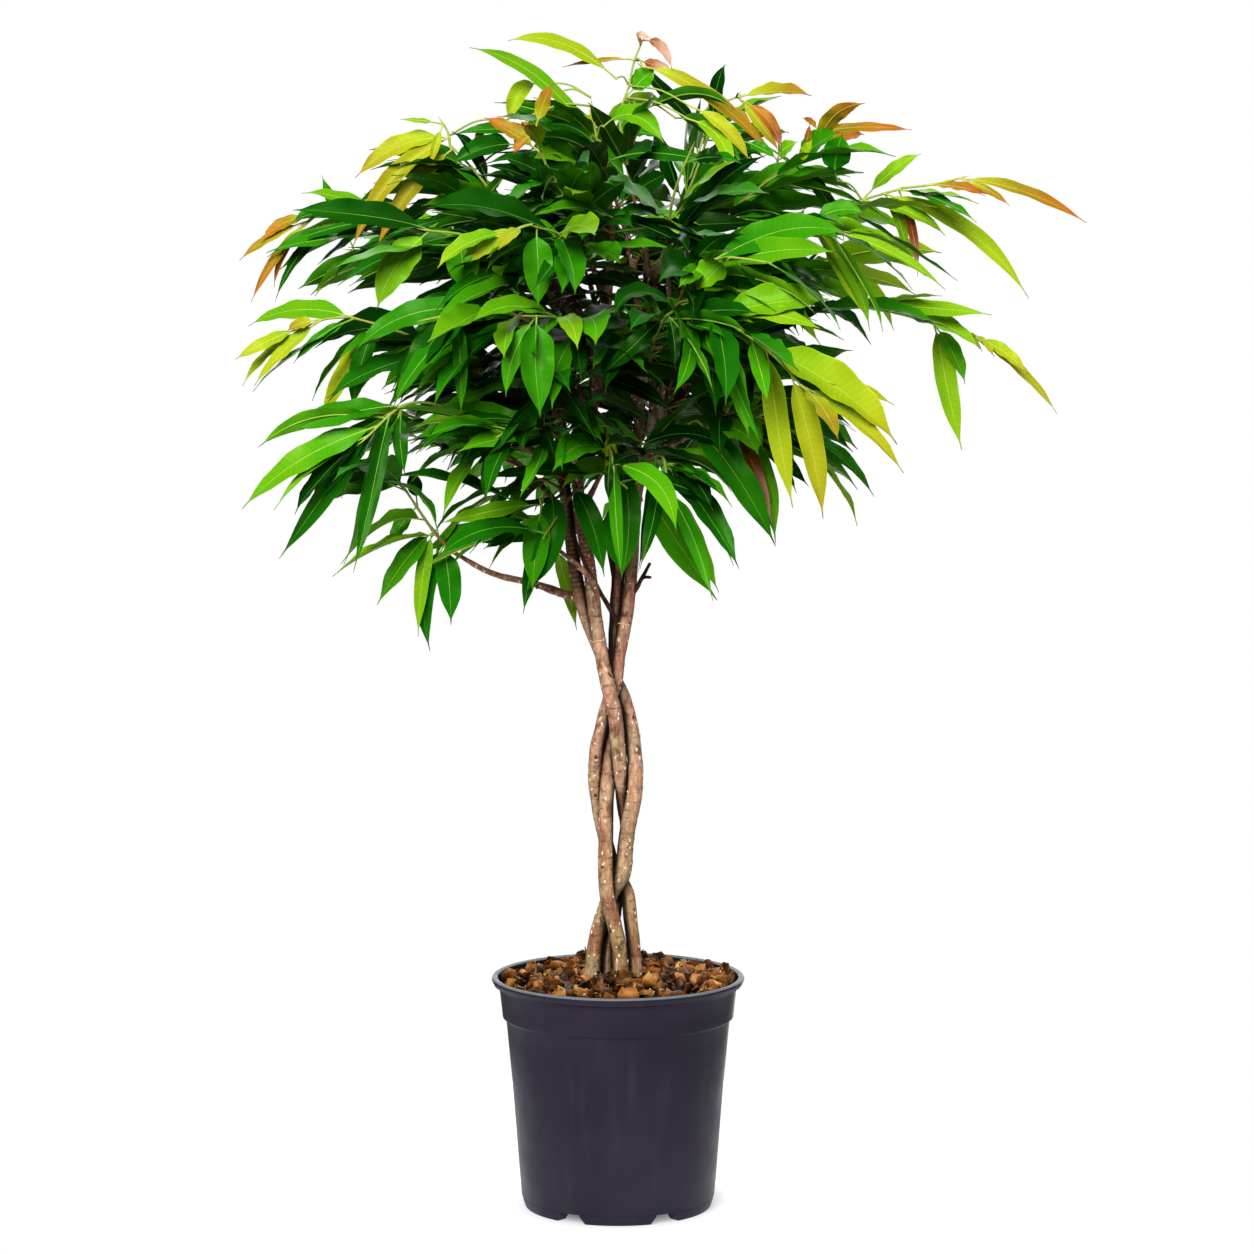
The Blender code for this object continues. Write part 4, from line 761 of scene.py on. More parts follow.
def leaf_line(leaf, draw):
    """One leaf's midrib from inside its twig to its tip, and the values at each point."""
    root, control, end = leaf["root"], leaf["control"], leaf["end"]
    length = np.linalg.norm(end - root)
    stalk = min(STALK_LENGTH / length, 0.25)
    blade = stalk + (1 - stalk) * np.linspace(0, 1, BLADE_POINTS)
    shares = np.concatenate([[0, 0.5 * stalk], blade])
    t = shares[:, None]
    line = (1 - t) ** 2 * root + 2 * t * (1 - t) * control + t * t * end
    up, sideways = leaf["up"], unit(np.cross(leaf["up"], end - root))
    bend = draw.normal(0, SIDE_BEND) * length
    hook = draw.uniform(0.0, TIP_HOOK) * length
    line += sideways * bend * np.sin(math.pi * t) * t ** 0.5
    line -= up * hook * np.clip(t - 0.75, 0, 1) ** 2 * 8
    line = np.vstack([root - unit(control - root) * 1.5 * MM, line])
    shares = np.concatenate([[0], shares])
    along = (shares - stalk) / (1 - stalk)
    twist = draw.normal(0, TWIST)
    ups = []
    for share in shares:
        mixed = leaf["up"] * (1 - share) + leaf["far_up"] * share
        turn = twist * (share - 0.4)
        ups.append(mixed * math.cos(turn) + sideways * math.sin(turn))
    count = len(line)
    steps = np.concatenate([[0], np.cumsum(np.linalg.norm(np.diff(line, axis=0), axis=1))])
    return line, {"up": np.array(ups), "along": along, "span": shares, "reach": steps,
                  "half_width": np.full(count, leaf["width"] / 2),
                  "fold": np.full(count, draw.uniform(*FOLD)),
                  "age": leaf["age"] + leaf["fade"] * (0.5 - along),
                  "phase": np.full(count, draw.uniform(0, 6.28))}


# %% Leaves by rule


def blade_up(direction, outward, height, draw):
    """Which way a blade's upper face looks: up, and outward where the leaf hangs."""
    lean = draw.uniform(0, 1.1) * (1 - 0.7 * poise(height))
    return square_to(outward * lean + UP * 0.8 + draw.normal(size=3) * 0.4, direction)


def bent_leaf(root, start, finish, length, share):
    """A leaf from how it sets out, how it ends and how much of its length comes before the bend."""
    control = root + start * length * share
    return {"root": root, "control": control, "end": control + finish * length * (1 - share)}


def hides_trunk(leaf):
    """True where a leaf's bend or tip is before the upper trunk."""
    return before_trunk(leaf["end"]) or before_trunk(leaf["control"])


def faced(leaf, outward, length, widths, draw):
    """The leaf with the way its upper face looks, and a width that is a share of its length."""
    root = leaf["root"]
    leaf["up"] = leaf["far_up"] = blade_up(unit(leaf["end"] - root), outward, root[2], draw)
    leaf["width"] = length * draw.uniform(*widths)
    return leaf


def filling_leaves(spray, low, high, draw):
    """Leaves by rule on a spray's twig, each inside the spray's own box."""
    centres, found = spray["centres"], []
    middle = (low + high) / 2
    far = np.linalg.norm((middle - CROWN_MIDDLE) / CROWN_SIZE)
    crowding = max(1.15 - 1.1 * share_of(far, 0.4, 0.9), TOP_FILLING * poise(middle[2]))
    crowding *= 1 - RIGHT_THINNER * share_of(middle[0], 0.12, 0.27)
    wanted = int(round(len(spray["leaves"]) * FILLING * crowding))
    for _ in range(wanted * 8):
        if len(found) == wanted:
            break
        place = draw.uniform(0.6, len(centres) - 1.4)
        k = int(place)
        root = centres[k] + (centres[k + 1] - centres[k]) * (place - k)
        heading = unit(centres[k + 1] - centres[k])
        swing = square_to(draw.normal(size=3), heading)
        outward = unit(np.array([root[0], root[1], 1e-6]))
        start = unit(heading * 0.7 + swing * draw.uniform(0.5, 1.3) + outward * 0.3
                     + UP * draw.uniform(-0.2, 0.5))
        droop = draw.uniform(0.3, 1.3) * (1.2 - 0.75 * poise(root[2]))
        finish = unit(start - UP * droop + outward * 0.2)
        shorter = 1 - 0.35 * share_of(root[0], 0.20, 0.26)
        length = draw.uniform(*FILLING_LENGTH) * shorter * MM
        leaf = bent_leaf(root, start, finish, length, 0.5)
        inside = all((low <= leaf[k]).all() and (leaf[k] <= high).all() for k in ("end", "control"))
        if inside and leaf["end"][2] <= HIGHEST_FILLING and not hides_trunk(leaf):
            found.append(faced(leaf, outward, length, FILLING_WIDTH, draw))
    return found


# %% Leaves with a tone of their own
TONES = [((-0.317, 0.837), 0.50), ((0.434, 0.975), 0.55), ((0.316, 0.996), 0.13),
         ((-0.256, 1.024), 0.40), ((-0.113, 1.243), 0.41), ((-0.044, 1.161), 0.46),
         ((0.170, 1.118), 0.42), ((0.164, 0.733), 0.12), ((-0.255, 0.962), 0.64),
         ((-0.153, 1.235), 0.65), ((0.223, 0.984), 0.66), ((0.099, 0.976), 0.68),
         ((-0.145, 0.953), 0.70), ((-0.086, 0.975), 0.68), ((0.491, 1.053), 0.34),
         ((-0.395, 0.755), 0.70), ((0.307, 1.152), 0.27), ((0.024, 1.250), 0.03),
         ((0.053, 1.222), 0.05), ((0.036, 1.188), 0.76)]
NEAREST_MARK = 25 * MM


def mark_tones():
    """Gives the leaves that stand out in the photograph their own age."""
    every = [leaf for spray in sprays.values() for leaf in spray["leaves"]]
    for place, age in TONES:
        gaps = [np.linalg.norm(from_front(leaf["end"]) - place) for leaf in every]
        nearest = int(np.argmin(gaps))
        if gaps[nearest] < NEAREST_MARK:
            leaf = every[nearest]
            leaf["marked"] = age
            direction = unit(leaf["end"] - leaf["root"])
            face = leaf["up"] * 0.5 + np.array([0, -0.8, 0.5])
            leaf["up"] = leaf["far_up"] = square_to(face, direction)
        print("mark", place, "nearest leaf end", round(gaps[nearest] / MM), "mm")


def leaf_piece(name, leaves, kind, draw):
    """One piece of leaves from their descriptions."""
    for leaf in leaves:
        leaf["fade"] = FADES[kind] if leaf["age"] > 0.45 or kind != "mature" else FADES["copper"]
    piece = lines_object(name, [leaf_line(leaf, draw) for leaf in leaves])
    grown(piece, leaf_maker, Blade=leaf_finishes[kind], Rib=rib_material)
    return shaded(piece, 50)


# %% Make the leaf pieces
mark_tones()
leaf_pieces = []
leaf_total = 0
for number, name in enumerate(spray_nodes + tip_nodes):
    draw = np.random.default_rng(100 + number)
    kind = kind_of(name)
    spray = sprays[name]
    leaves = []
    for k, leaf in enumerate(spray["leaves"]):
        share = BEFORE_TRUNK_SHARE if before_trunk(leaf["end"]) else WIDTH_SHARE
        if (name, k) not in LEFT_OUT:
            leaves.append(dict(leaf, width=leaf["width"] * share))
    if kind == "mature":
        leaves += filling_leaves(spray, *(np.array(corner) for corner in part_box(name)), draw)
    for leaf in leaves:
        if kind == "mature":
            leaf["age"] = mature_age(leaf, draw)
        else:
            leaf["age"] = (YOUNG_AGE if kind == "young" else COPPER_AGE) + draw.normal(0, 0.05)
        leaf["age"] = leaf.get("marked", leaf["age"])
    title = "leaves_" if kind == "mature" else "shoot_"
    leaf_pieces.append((leaf_piece(title + short(name), leaves, kind, draw), name, kind))
    leaf_total += len(leaves)
leaf_triangles = sum(triangles_of(piece) for piece, _, _ in leaf_pieces)
print(leaf_total, "leaves,", leaf_triangles, "triangles in", len(leaf_pieces), "pieces")

for piece, name, kind in leaf_pieces:
    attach(piece, "root")
    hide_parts(name)

# %% [markdown]
# ## Inner shoots
# Between the sprays the real crown is full of short shoots that grow from the limbs and leaders.
# They follow one rule: set out sideways and outward, droop, and carry up to nine leaves. A leaf is
# kept where it stays inside the crown's outline, which is measured from the frame's own leaves as
# the farthest reach in each direction from the crown's middle.

# %% Grow the inner shoots
TURNS, RISES = 16, 8
LOWEST_LEAF = 0.655
SHOOTS_A_LEADER = 10
LEADER_FOOT, OUTLINE_SHARE = 0.68, 0.94
SHOOT_LENGTH, SHOOT_LEAVES = (55, 125), (6, 10)
SHOOT_LEAF_LENGTH, SHOOT_LEAF_WIDTH = (100, 168), (0.14, 0.21)


def direction_cell(point):
    """Which of the directions round the crown's middle a point lies in, and how far out."""
    x, y, z = point - CROWN_MIDDLE
    turn = int((math.atan2(y, x) / (2 * math.pi) + 0.5) * TURNS) % TURNS
    rise = min(int((math.atan2(z, math.hypot(x, y)) / math.pi + 0.5) * RISES), RISES - 1)
    return (turn, rise), math.sqrt(x * x + y * y + z * z)


reach = np.zeros((TURNS, RISES))
for spray in sprays.values():
    for leaf in spray["leaves"]:
        for share in (0.5, 1.0):
            cell, far = direction_cell(leaf["root"] + (leaf["end"] - leaf["root"]) * share)
            reach[cell] = max(reach[cell], far)


def inside_crown(point):
    """True within the crown's outline and above its lowest leaves."""
    cell, far = direction_cell(point)
    return far < OUTLINE_SHARE * reach[cell] and point[2] > LOWEST_LEAF


def inner_shoot(base, draw):
    """A short twig from a point on the wood, and the leaves along it."""
    outward = unit(np.array([base[0] + 0.02 * draw.normal(), base[1] + 0.02 * draw.normal(), 0]))
    heading = unit(outward + draw.normal(size=3) * 0.55 + np.array([0, 0, 0.45]))
    length = draw.uniform(*SHOOT_LENGTH) * MM
    bend = unit(heading - UP * 0.5 + draw.normal(size=3) * 0.2)
    twig = np.array([base, base + heading * length * 0.5, base + (heading + bend) * length * 0.5])
    leaves, count = [], int(draw.integers(*SHOOT_LEAVES))
    for k in range(count):
        share = 2 * (0.25 + 0.75 * (k + 0.5) / count)
        root = twig[0] + (twig[1] - twig[0]) * min(share, 1)
        root = root + (twig[2] - twig[1]) * max(share - 1, 0)
        side = unit(np.cross(heading, UP)) * (1 if k % 2 else -1)
        start = unit(heading * 0.4 + side * draw.uniform(0.6, 1.4) + draw.normal(size=3) * 0.3
                     + UP * 0.15)
        droop = draw.uniform(0.2, 1.6) * (1.2 - 0.8 * poise(root[2]))
        finish = unit(start - UP * droop + outward * 0.1)
        size = draw.uniform(*SHOOT_LEAF_LENGTH) * MM
        leaf = bent_leaf(root, start, finish, size, 0.45)
        inside = inside_crown(leaf["end"]) and inside_crown(leaf["control"])
        if inside and not hides_trunk(leaf):
            leaves.append(faced(leaf, outward, size, SHOOT_LEAF_WIDTH, draw))
    return twig, leaves


# %% [markdown]
# ## Single leaves
# Some leaves show on their own in the photograph: those that hang before and behind the trunk, and
# those that stand out at the crown's edge or before its dark middle. Each gets its own place and
# age, and a thin twig to the nearest wood.

# %% Hang the single leaves and grow the shoots
HANGING = [  # root, middle and tip in millimetres, width, age
    ((0, -45, 804), (11, -85, 751), (3, -75, 682), 26, 0.82),
    ((-72, -55, 777), (-70, -85, 730), (-97, -75, 668), 30, 0.87),
    ((36, -50, 768), (56, -90, 731), (104, -85, 663), 34, 0.75),
    ((73, -70, 845), (121, -110, 800), (164, -100, 720), 32, 0.84),
    ((-14, -90, 842), (-6, -110, 815), (-11, -105, 774), 13, 0.52),
    ((36, -60, 788), (-18, -100, 799), (-58, -100, 780), 22, 0.63),
    ((-48, -35, 778), (-31, -60, 744), (-14, -50, 683), 24, 0.88),
    ((-66, 30, 707), (-56, 50, 671), (-44, 45, 617), 17, 0.66),
    ((-6, -40, 770), (2, -62, 730), (5, -60, 688), 21, 0.86),
    ((26, -10, 1215), (100, -15, 1186), (170, -20, 1116), 17, 0.37),
    ((-2, -10, 1203), (-56, -25, 1237), (-113, -38, 1243), 17, 0.53),
    ((-14, -50, 1153), (16, -70, 1163), (48, -90, 1135), 24, 0.68),
    ((-6, -50, 1118), (46, -70, 1128), (107, -90, 1112), 18, 0.90),
    ((61, 0, 1162), (94, -30, 1149), (135, -60, 1108), 20, 0.86),
    ((23, 0, 1168), (75, -20, 1183), (122, -40, 1172), 16, 0.88),
    ((75, -30, 1160), (98, -50, 1139), (118, -80, 1092), 17, 0.60),
    ((-15, -50, 1126), (-54, -70, 1157), (-88, -90, 1147), 16, 0.86),
    ((23, -5, 1241), (22, -9, 1248), (35, -11, 1244), 8, 0.02),
    ((23, -5, 1242), (41, -12, 1237), (57, -15, 1213), 12, 0.02),
    ((-65, -30, 1139), (-117, -42, 1151), (-172, -48, 1145), 15, 0.88),
    ((-22, -45, 1112), (-55, -57, 1137), (-95, -63, 1149), 16, 0.90),
    ((-29, -60, 1091), (-67, -72, 1116), (-111, -78, 1121), 25, 0.93),
    ((-102, -40, 1133), (-136, -52, 1132), (-174, -58, 1114), 24, 0.92),
    ((-76, -20, 1198), (-102, -32, 1189), (-114, -38, 1156), 19, 0.55),
    ((-64, -25, 1188), (-68, -37, 1172), (-77, -43, 1155), 26, 0.92),
    ((-88, -50, 1165), (-97, -62, 1149), (-107, -68, 1126), 12, 0.20),
    ((-120, -30, 1161), (-135, -42, 1151), (-151, -48, 1135), 10, 0.24),
    ((129, -30, 1180), (155, -42, 1159), (170, -48, 1127), 14, 0.18),
    ((75, -35, 1174), (111, -47, 1151), (137, -53, 1117), 15, 0.46),
    ((229, -40, 1097), (223, -52, 1122), (233, -58, 1145), 30, 0.83),
    ((131, -30, 1137), (146, -42, 1132), (165, -48, 1120), 14, 0.80),
    ((166, -35, 1117), (172, -47, 1128), (186, -53, 1137), 16, 0.68),
    ((187, -30, 1117), (193, -42, 1126), (202, -48, 1140), 12, 0.55),
    ((193, -30, 1129), (197, -42, 1141), (199, -48, 1155), 7, 0.25)]


def hanging_leaves():
    """The single leaves, each on its own thin twig."""
    every = np.vstack([part["centres"] for part in (*stems.values(), *sprays.values())])
    leaves, twigs_made = [], []
    for root, middle, tip, width, age in HANGING:
        root, middle, tip = (np.array(place, float) * MM for place in (root, middle, tip))
        high = every[every[:, 2] > root[2] - 30 * MM]
        base = high[np.argmin(np.linalg.norm(high - root, axis=1))]
        twigs_made.append(np.array([base, (base + root) / 2 + UP * 6 * MM, root]))
        up = square_to(np.array([0, -0.8 if root[1] < 0 else 0.8, 0.5]), unit(tip - root))
        leaves.append({"root": root, "control": 2 * middle - (root + tip) / 2, "end": tip, "up": up,
                       "far_up": up, "width": width * MM, "age": age})
    return leaves, twigs_made


hung, hanging_twigs = hanging_leaves()
inner_twigs = []
piece = leaf_piece("leaves_hanging", hung, "mature", np.random.default_rng(290))
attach(piece, "root")
tell(piece)
for number, name in enumerate(stem_nodes):
    draw = np.random.default_rng(300 + number)
    leader = stems[name]["centres"]
    leader = leader[leader[:, 2] > LEADER_FOOT]
    bases = [leader[int(draw.integers(len(leader)))] for _ in range(SHOOTS_A_LEADER)]
    for middles, _ in stems[name]["limbs"].values():
        k = int(draw.integers(1, len(middles) - 1))
        bases.append(middles[k] + (middles[k + 1] - middles[k]) * draw.uniform(0, 1))
    leaves = []
    for base in bases:
        twig, grown_leaves = inner_shoot(base, draw)
        if len(grown_leaves) >= 2:
            inner_twigs.append(twig)
            leaves += grown_leaves
    for leaf in leaves:
        leaf["age"] = mature_age(leaf, draw)
    piece = leaf_piece("leaves_inner_" + short(name), leaves, "mature", draw)
    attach(piece, "root")
    tell(piece)

# %% [markdown]
# ## Wood finishes
# Young ficus bark is smooth and pinkish tan, redder towards the crown, with thin rings where leaves
# once stood. Lighter just below the crown and near black inside it, its colour is there partly
# painted light and shade. Twigs turn from brown to yellow-green towards their buds. The wood
# carries how high and how green it is, so one finish can follow a whole branch.

# %% Wood materials
BARK_PATCHES = [  # noise size, detail, from and to, stretch, how strong, colour
    ("rust", 34.0, 4.0, 0.50, 0.60, (1.3, 1.3, 0.6), 0.70, (0.25, 0.085, 0.052)),
    ("stain", 62.0, 3.0, 0.60, 0.68, (1, 1, 0.6), 0.75, (0.075, 0.030, 0.014)),
    ("crease", 95.0, 4.0, 0.58, 0.68, (0.8, 0.8, 2.4), 0.35, (0.14, 0.060, 0.036)),
    ("streak", 150.0, 3.0, 0.54, 0.66, (1.5, 1.5, 0.22), 0.40, (0.62, 0.44, 0.32))]


def bark_finish():
    """Bark of the stems and limbs."""
    made, tree, shader = material("ficus_bark", roughness=0.62, specular=0.14)
    # colour by height: partly the bark's own, partly painted light and shade, lightest just below
    # the crown and near black inside it
    base = ramp(tree, between(tree, height_of(tree), 0.25, 0.95), [
        (0.0, (0.20, 0.150, 0.052)), (0.10, (0.40, 0.245, 0.125)), (0.35, (0.46, 0.255, 0.165)),
        (0.52, (0.54, 0.270, 0.190)), (0.61, (0.44, 0.180, 0.120)), (0.68, (0.22, 0.070, 0.042)),
        (0.82, (0.080, 0.022, 0.012)), (1.0, (0.050, 0.015, 0.008))])
    grey = tinted(tree, base, (0.42, 0.310, 0.175), 0.7)
    colour = tinted(tree, base, grey, patches(tree, 24.0, 4.0, 0.44, 0.56), 0.85)
    masks = {}
    for label, scale, detail, low, high, stretch, share, tone in BARK_PATCHES:
        masks[label] = patches(tree, scale, detail, low, high, stretch=stretch)
        colour = tinted(tree, colour, tone, masks[label], share)
    grain = patches(tree, 260.0, 3.0, 0.35, 0.65, 0.66, 1.22, (1, 1, 0.4))
    colour = darkened(tree, colour, grain)
    scar = product(tree, carried(tree, "scar"), patches(tree, 45.0, 2.0, 0.40, 0.62))
    colour = tinted(tree, colour, (0.13, 0.058, 0.035), scar, 0.35)
    # dark red-brown in the folds of the wrinkles: partly the bark's colour, partly painted shade
    colour = tinted(tree, colour, (0.060, 0.018, 0.012), carried(tree, "ridge"), 0.7)
    # painted shade: bark near black where the other stems close a point in
    colour = tinted(tree, colour, (0.006, 0.003, 0.002), carried(tree, "crevice"), 0.97)
    relief = noise(tree, 320.0, 4.0, (1, 1, 0.5))
    surface(tree, shader, colour, maths(tree, "SUBTRACT", relief, masks["crease"]), 1.2 * MM, 1.0)
    return made


def twig_finish():
    """Twigs, from brown wood to yellow-green shoots."""
    made, tree, shader = material("ficus_twig", roughness=0.5, specular=0.18)
    green = maths(tree, "ADD", carried(tree, "green"), mottle(tree, 60.0, 3.0, 0.35))
    colour = ramp(tree, green, [
        (0.0, (0.16, 0.062, 0.030)), (0.28, (0.24, 0.125, 0.045)), (0.48, (0.26, 0.28, 0.06)),
        (0.75, (0.34, 0.46, 0.07)), (1.0, (0.46, 0.50, 0.08))])
    surface(tree, shader, colour, noise(tree, 500.0, 3.0), 0.2 * MM, 0.6)
    return made


def plain_finish(name, stops, scale, roughness, depth):
    """A speckled finish: colours picked by noise, and fine relief."""
    made, tree, shader = material(name, roughness=roughness, specular=0.14)
    colour = ramp(tree, noise(tree, scale, 4.0), stops)
    surface(tree, shader, colour, noise(tree, scale * 2.5, 4.0), depth, 0.8)
    return made


bark = bark_finish()
twig_green = twig_finish()
pore_pale = plain_finish("bark_pore", [(0.3, (0.62, 0.44, 0.30)), (0.7, (0.90, 0.76, 0.60))],
                         700.0, 0.7, 0.1 * MM)
knot_dark = plain_finish("bark_knot", [(0.3, (0.035, 0.014, 0.008)), (0.7, (0.12, 0.05, 0.025))],
                         500.0, 0.7, 0.2 * MM)
bark_dark = plain_finish("bark_dark", [(0.3, (0.022, 0.008, 0.005)), (0.7, (0.11, 0.036, 0.020))],
                         120.0, 0.6, 0.5 * MM)
tie_pale = plain_finish("tie_mark", [(0.3, (0.55, 0.36, 0.14)), (0.7, (0.80, 0.62, 0.34))],
                        200.0, 0.7, 0.2 * MM)
print("wood finishes:", bark.name, twig_green.name, pore_pale.name, knot_dark.name, bark_dark.name)

# %% [markdown]
# ## Round wood
# A stem, a limb and a twig are the same thing at three sizes: a circle swept along a path whose
# points carry the wood's radius. The tree also roughens the surface a little with noise, because
# no real branch is a perfect tube.

# %% Build the wood tree


def wood_tree():
    """Lines that carry a radius become round wood."""
    tree, given = geometry_tree("round_wood", Sides=10, Roughness=0.2 * MM, Grain=90.0, Wood="")
    parts = parts_of(tree, field(tree, "Position"))
    angle = maths(tree, "ARCTAN2", parts["Y"], parts["X"])
    profile = stored(tree, circle(tree, given["Sides"]), "around", angle)
    wood = swept(tree, curves_of(tree, given["Lines"]), profile, named(tree, "radius"))
    rough = node(tree, "ShaderNodeTexNoise", {"Scale": given["Grain"], "Detail": 3.0}).outputs[0]
    depth = product(tree, given["Roughness"], 2.0, maths(tree, "SUBTRACT", rough, 0.5))
    wood = moved(tree, wood, Offset=scaled(tree, field(tree, "Normal"), depth))
    finished(tree, painted(tree, wood, given["Wood"]))
    return tree


wood_maker = wood_tree()

# %% Twigs
TWIG_STEP = 3.5 * MM
SCAR_WIDTH = 1.6 * MM


def twig_line(name):
    """A spray's twig as a smooth path, with its radius, how green it is, and its leaf scars."""
    spray = sprays[name]
    centres = spray["centres"]
    inward = unit(centres[0] - centres[1]) * 3 * MM
    path, run, (radius,) = smooth_path(np.vstack([centres[0] + inward, centres]), TWIG_STEP,
                                       np.concatenate([spray["radii"][:1], spray["radii"]]))
    share = run / run[-1]
    swell = np.zeros(len(path))
    for leaf in spray["leaves"]:
        away = np.linalg.norm(path - leaf["root"], axis=1) - 2 * MM
        swell = np.maximum(swell, np.exp(-(away / (2.2 * MM)) ** 2))
    green = share ** 0.8 if name.startswith("spray_") else 0.8 + 0.2 * share
    wide = np.maximum(radius * (0.9 - 0.2 * share) * (1 + 0.28 * swell), 0.25 * MM)
    return path, {"radius": wide, "green": green, "scar": swell}


def inner_line(twig, widest):
    """An inner shoot's twig as a smooth path with the same values."""
    path, run, (radius,) = smooth_path(twig, TWIG_STEP, [widest, widest * 0.85, 0.9 * MM])
    green = (0.15 if widest > 1.5 * MM else 0.6) + 0.35 * run / run[-1]
    return path, {"radius": radius, "green": green, "scar": np.zeros(len(path))}


made = [twig_line(name) for name in spray_nodes + tip_nodes]
made += [inner_line(twig, 1.8 * MM) for twig in inner_twigs]
made += [inner_line(twig, 1.2 * MM) for twig in hanging_twigs]
twigs = lines_object("twigs", made)
grown(twigs, wood_maker, Sides=8, Roughness=0.1 * MM, Grain=220.0, Wood=twig_green)
shaded(twigs, 60)
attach(twigs, "root")
tell(twigs)

# %% [markdown]
# ## Pores and knots
# The pale dots on the trunk are lenticels, the pores that bark breathes through. They stand in
# loose columns. Points are scattered over the finished stem, thicker in some directions round it
# than in others, and each point gets a small flattened bead that lies along the surface.

# %% Scatter tree


def scatter_tree():
    """The stem as it is, with flat beads scattered over it."""
    tree, given = geometry_tree("pores", Spacing=4.4 * MM, Density=28000.0, Size=1.45 * MM,
                                Flatness=0.4, Columns=5.0, Seed=1, Bead="")
    stem = given["Lines"]
    column = maths(tree, "SINE", product(tree, named(tree, "around"), given["Columns"]))
    patch = node(tree, "ShaderNodeTexNoise", {"Scale": 22.0}).outputs["Fac"]
    crowd = product(tree, between(tree, column, -0.5, 0.9, 0.03, 1.0),
                    between(tree, patch, 0.36, 0.54, 0.10, 1.0),
                    between(tree, named(tree, "crevice"), 0.1, 0.45, 1.0, 0.0))
    points = scattered(tree, stem, given["Spacing"], given["Density"], given["Seed"],
                       {"Density Factor": crowd})
    bead = node(tree, "GeometryNodeMeshUVSphere",
                {"Segments": 7, "Rings": 4, "Radius": 1.0}).outputs[0]
    size = vector_of(tree, X=chance(tree, 0.7, 1.9, 5), Y=0.75, Z=given["Flatness"])
    upright = node(tree, "FunctionNodeAxesToRotation", {
        "Primary Axis": points["Normal"], "Secondary Axis": (0, 0, 1)},
        primary_axis="Z", secondary_axis="X").outputs[0]
    swing = node(tree, "FunctionNodeAxisAngleToRotation", {
        "Axis": (0, 0, 1), "Angle": chance(tree, -0.5, 0.5, 6)}).outputs[0]
    turn = node(tree, "FunctionNodeRotateRotation", {"Rotation": upright, "Rotate By": swing},
                rotation_space="LOCAL").outputs[0]
    beads = node(tree, "GeometryNodeInstanceOnPoints", {
        "Points": points["Points"], "Instance": bead, "Rotation": turn,
        "Scale": scaled(tree, size, given["Size"])}).outputs[0]
    finished(tree, joined(tree, painted(tree, beads, given["Bead"]), stem))
    return tree


scatter_maker = scatter_tree()

# %% [markdown]
# ## Stems and limbs
# Each stem runs from inside the pot through the braid to the top of its leader, and its limbs
# leave it with a small collar. Thin rings mark where old leaves stood. In the braid the stems have
# swollen against each other, so they are a little thicker there. Each point also learns how closed
# in it is by the other stems, and painted shade darkens the bark there, nearly to black where two
# meet.

# %% Stems
STEM_STEP = 1.5 * MM
RING_SPACING = (22, 70)
LIMB_RING_SPACING = (9, 22)
RING_HEIGHT = 0.35 * MM
BRAID = (0.27, 0.60)
PRESSED = 1.08
WRINKLED = {"stem_b": (0.665, 0.75), "stem_c": (0.655, 0.76), "stem_a": (0.70, 0.74)}
WRINKLE_STEP, WRINKLE_HEIGHT = 5.2 * MM, 0.45 * MM
CREVICE_REACH, CREVICE_STEP = 3.0 * MM, 5.0 * MM
LOOK_OUT = (3 * MM, 7 * MM, 14 * MM, 26 * MM)


def ring_marks(run, draw, spacing):
    """A value from 0 to 1 along a path that peaks at each old leaf's ring."""
    marks, place = np.zeros(len(run)), draw.uniform(*spacing) * MM
    while place < run[-1]:
        ring = draw.uniform(0.4, 1.0) * np.exp(-((run - place) / SCAR_WIDTH) ** 2)
        marks = np.maximum(marks, ring)
        place += draw.uniform(*spacing) * MM
    return marks


def zone(heights, low, high, soft):
    """1 between two heights, fading to 0 at both."""
    return np.clip(np.minimum(heights - low, high - heights) / soft, 0, 1)


def stem_line(name, step):
    """A stem's smooth path, how far along it each point is, and its radius there."""
    path, run, (radius,) = smooth_path(stems[name]["centres"], step, stems[name]["radii"])
    return path, run, radius


def stem_piece(name, draw):
    """One stem with its limbs, grown from the frame's rings."""
    path, run, radius = stem_line(name, STEM_STEP)
    marks = ring_marks(run, draw, RING_SPACING)
    ridges = np.zeros(len(path))
    if name in WRINKLED:
        place = run / WRINKLE_STEP + 0.35 * np.sin(run / (17 * MM))
        folds = 0.5 + 0.5 * np.cos(2 * math.pi * place)
        ridges = zone(path[:, 2], *WRINKLED[name], 0.015) * folds
    thick = radius * (1 + (PRESSED - 1) * zone(path[:, 2], *BRAID, 0.05))
    lines = [(path, {"radius": thick + RING_HEIGHT * marks - WRINKLE_HEIGHT * ridges,
                     "scar": marks, "ridge": ridges})]
    centres = stems[name]["centres"]
    for middles, wide in stems[name]["limbs"].values():
        nearest = centres[np.argmin(np.linalg.norm(centres - middles[0], axis=1))]
        inside = middles[0] + (nearest - middles[0]) * 0.7
        wide = [wide[1] * 1.35, wide[1] * 1.3] + wide[1:]
        path, run, (radius,) = smooth_path(np.vstack([inside, middles]), 2.5 * MM, wide)
        marks = ring_marks(run, draw, LIMB_RING_SPACING)
        lines.append((path, {"radius": radius * 0.95 + 0.5 * RING_HEIGHT * marks, "scar": marks,
                             "ridge": np.zeros(len(path))}))
    piece = lines_object("trunk_" + name, lines)
    grown(piece, wood_maker, Sides=22, Roughness=0.9 * MM, Grain=48.0, Wood=bark)
    shade_crevices(piece, [other for other in stem_nodes if other != name])
    return piece


# %% Painted shade in the creases between the stems


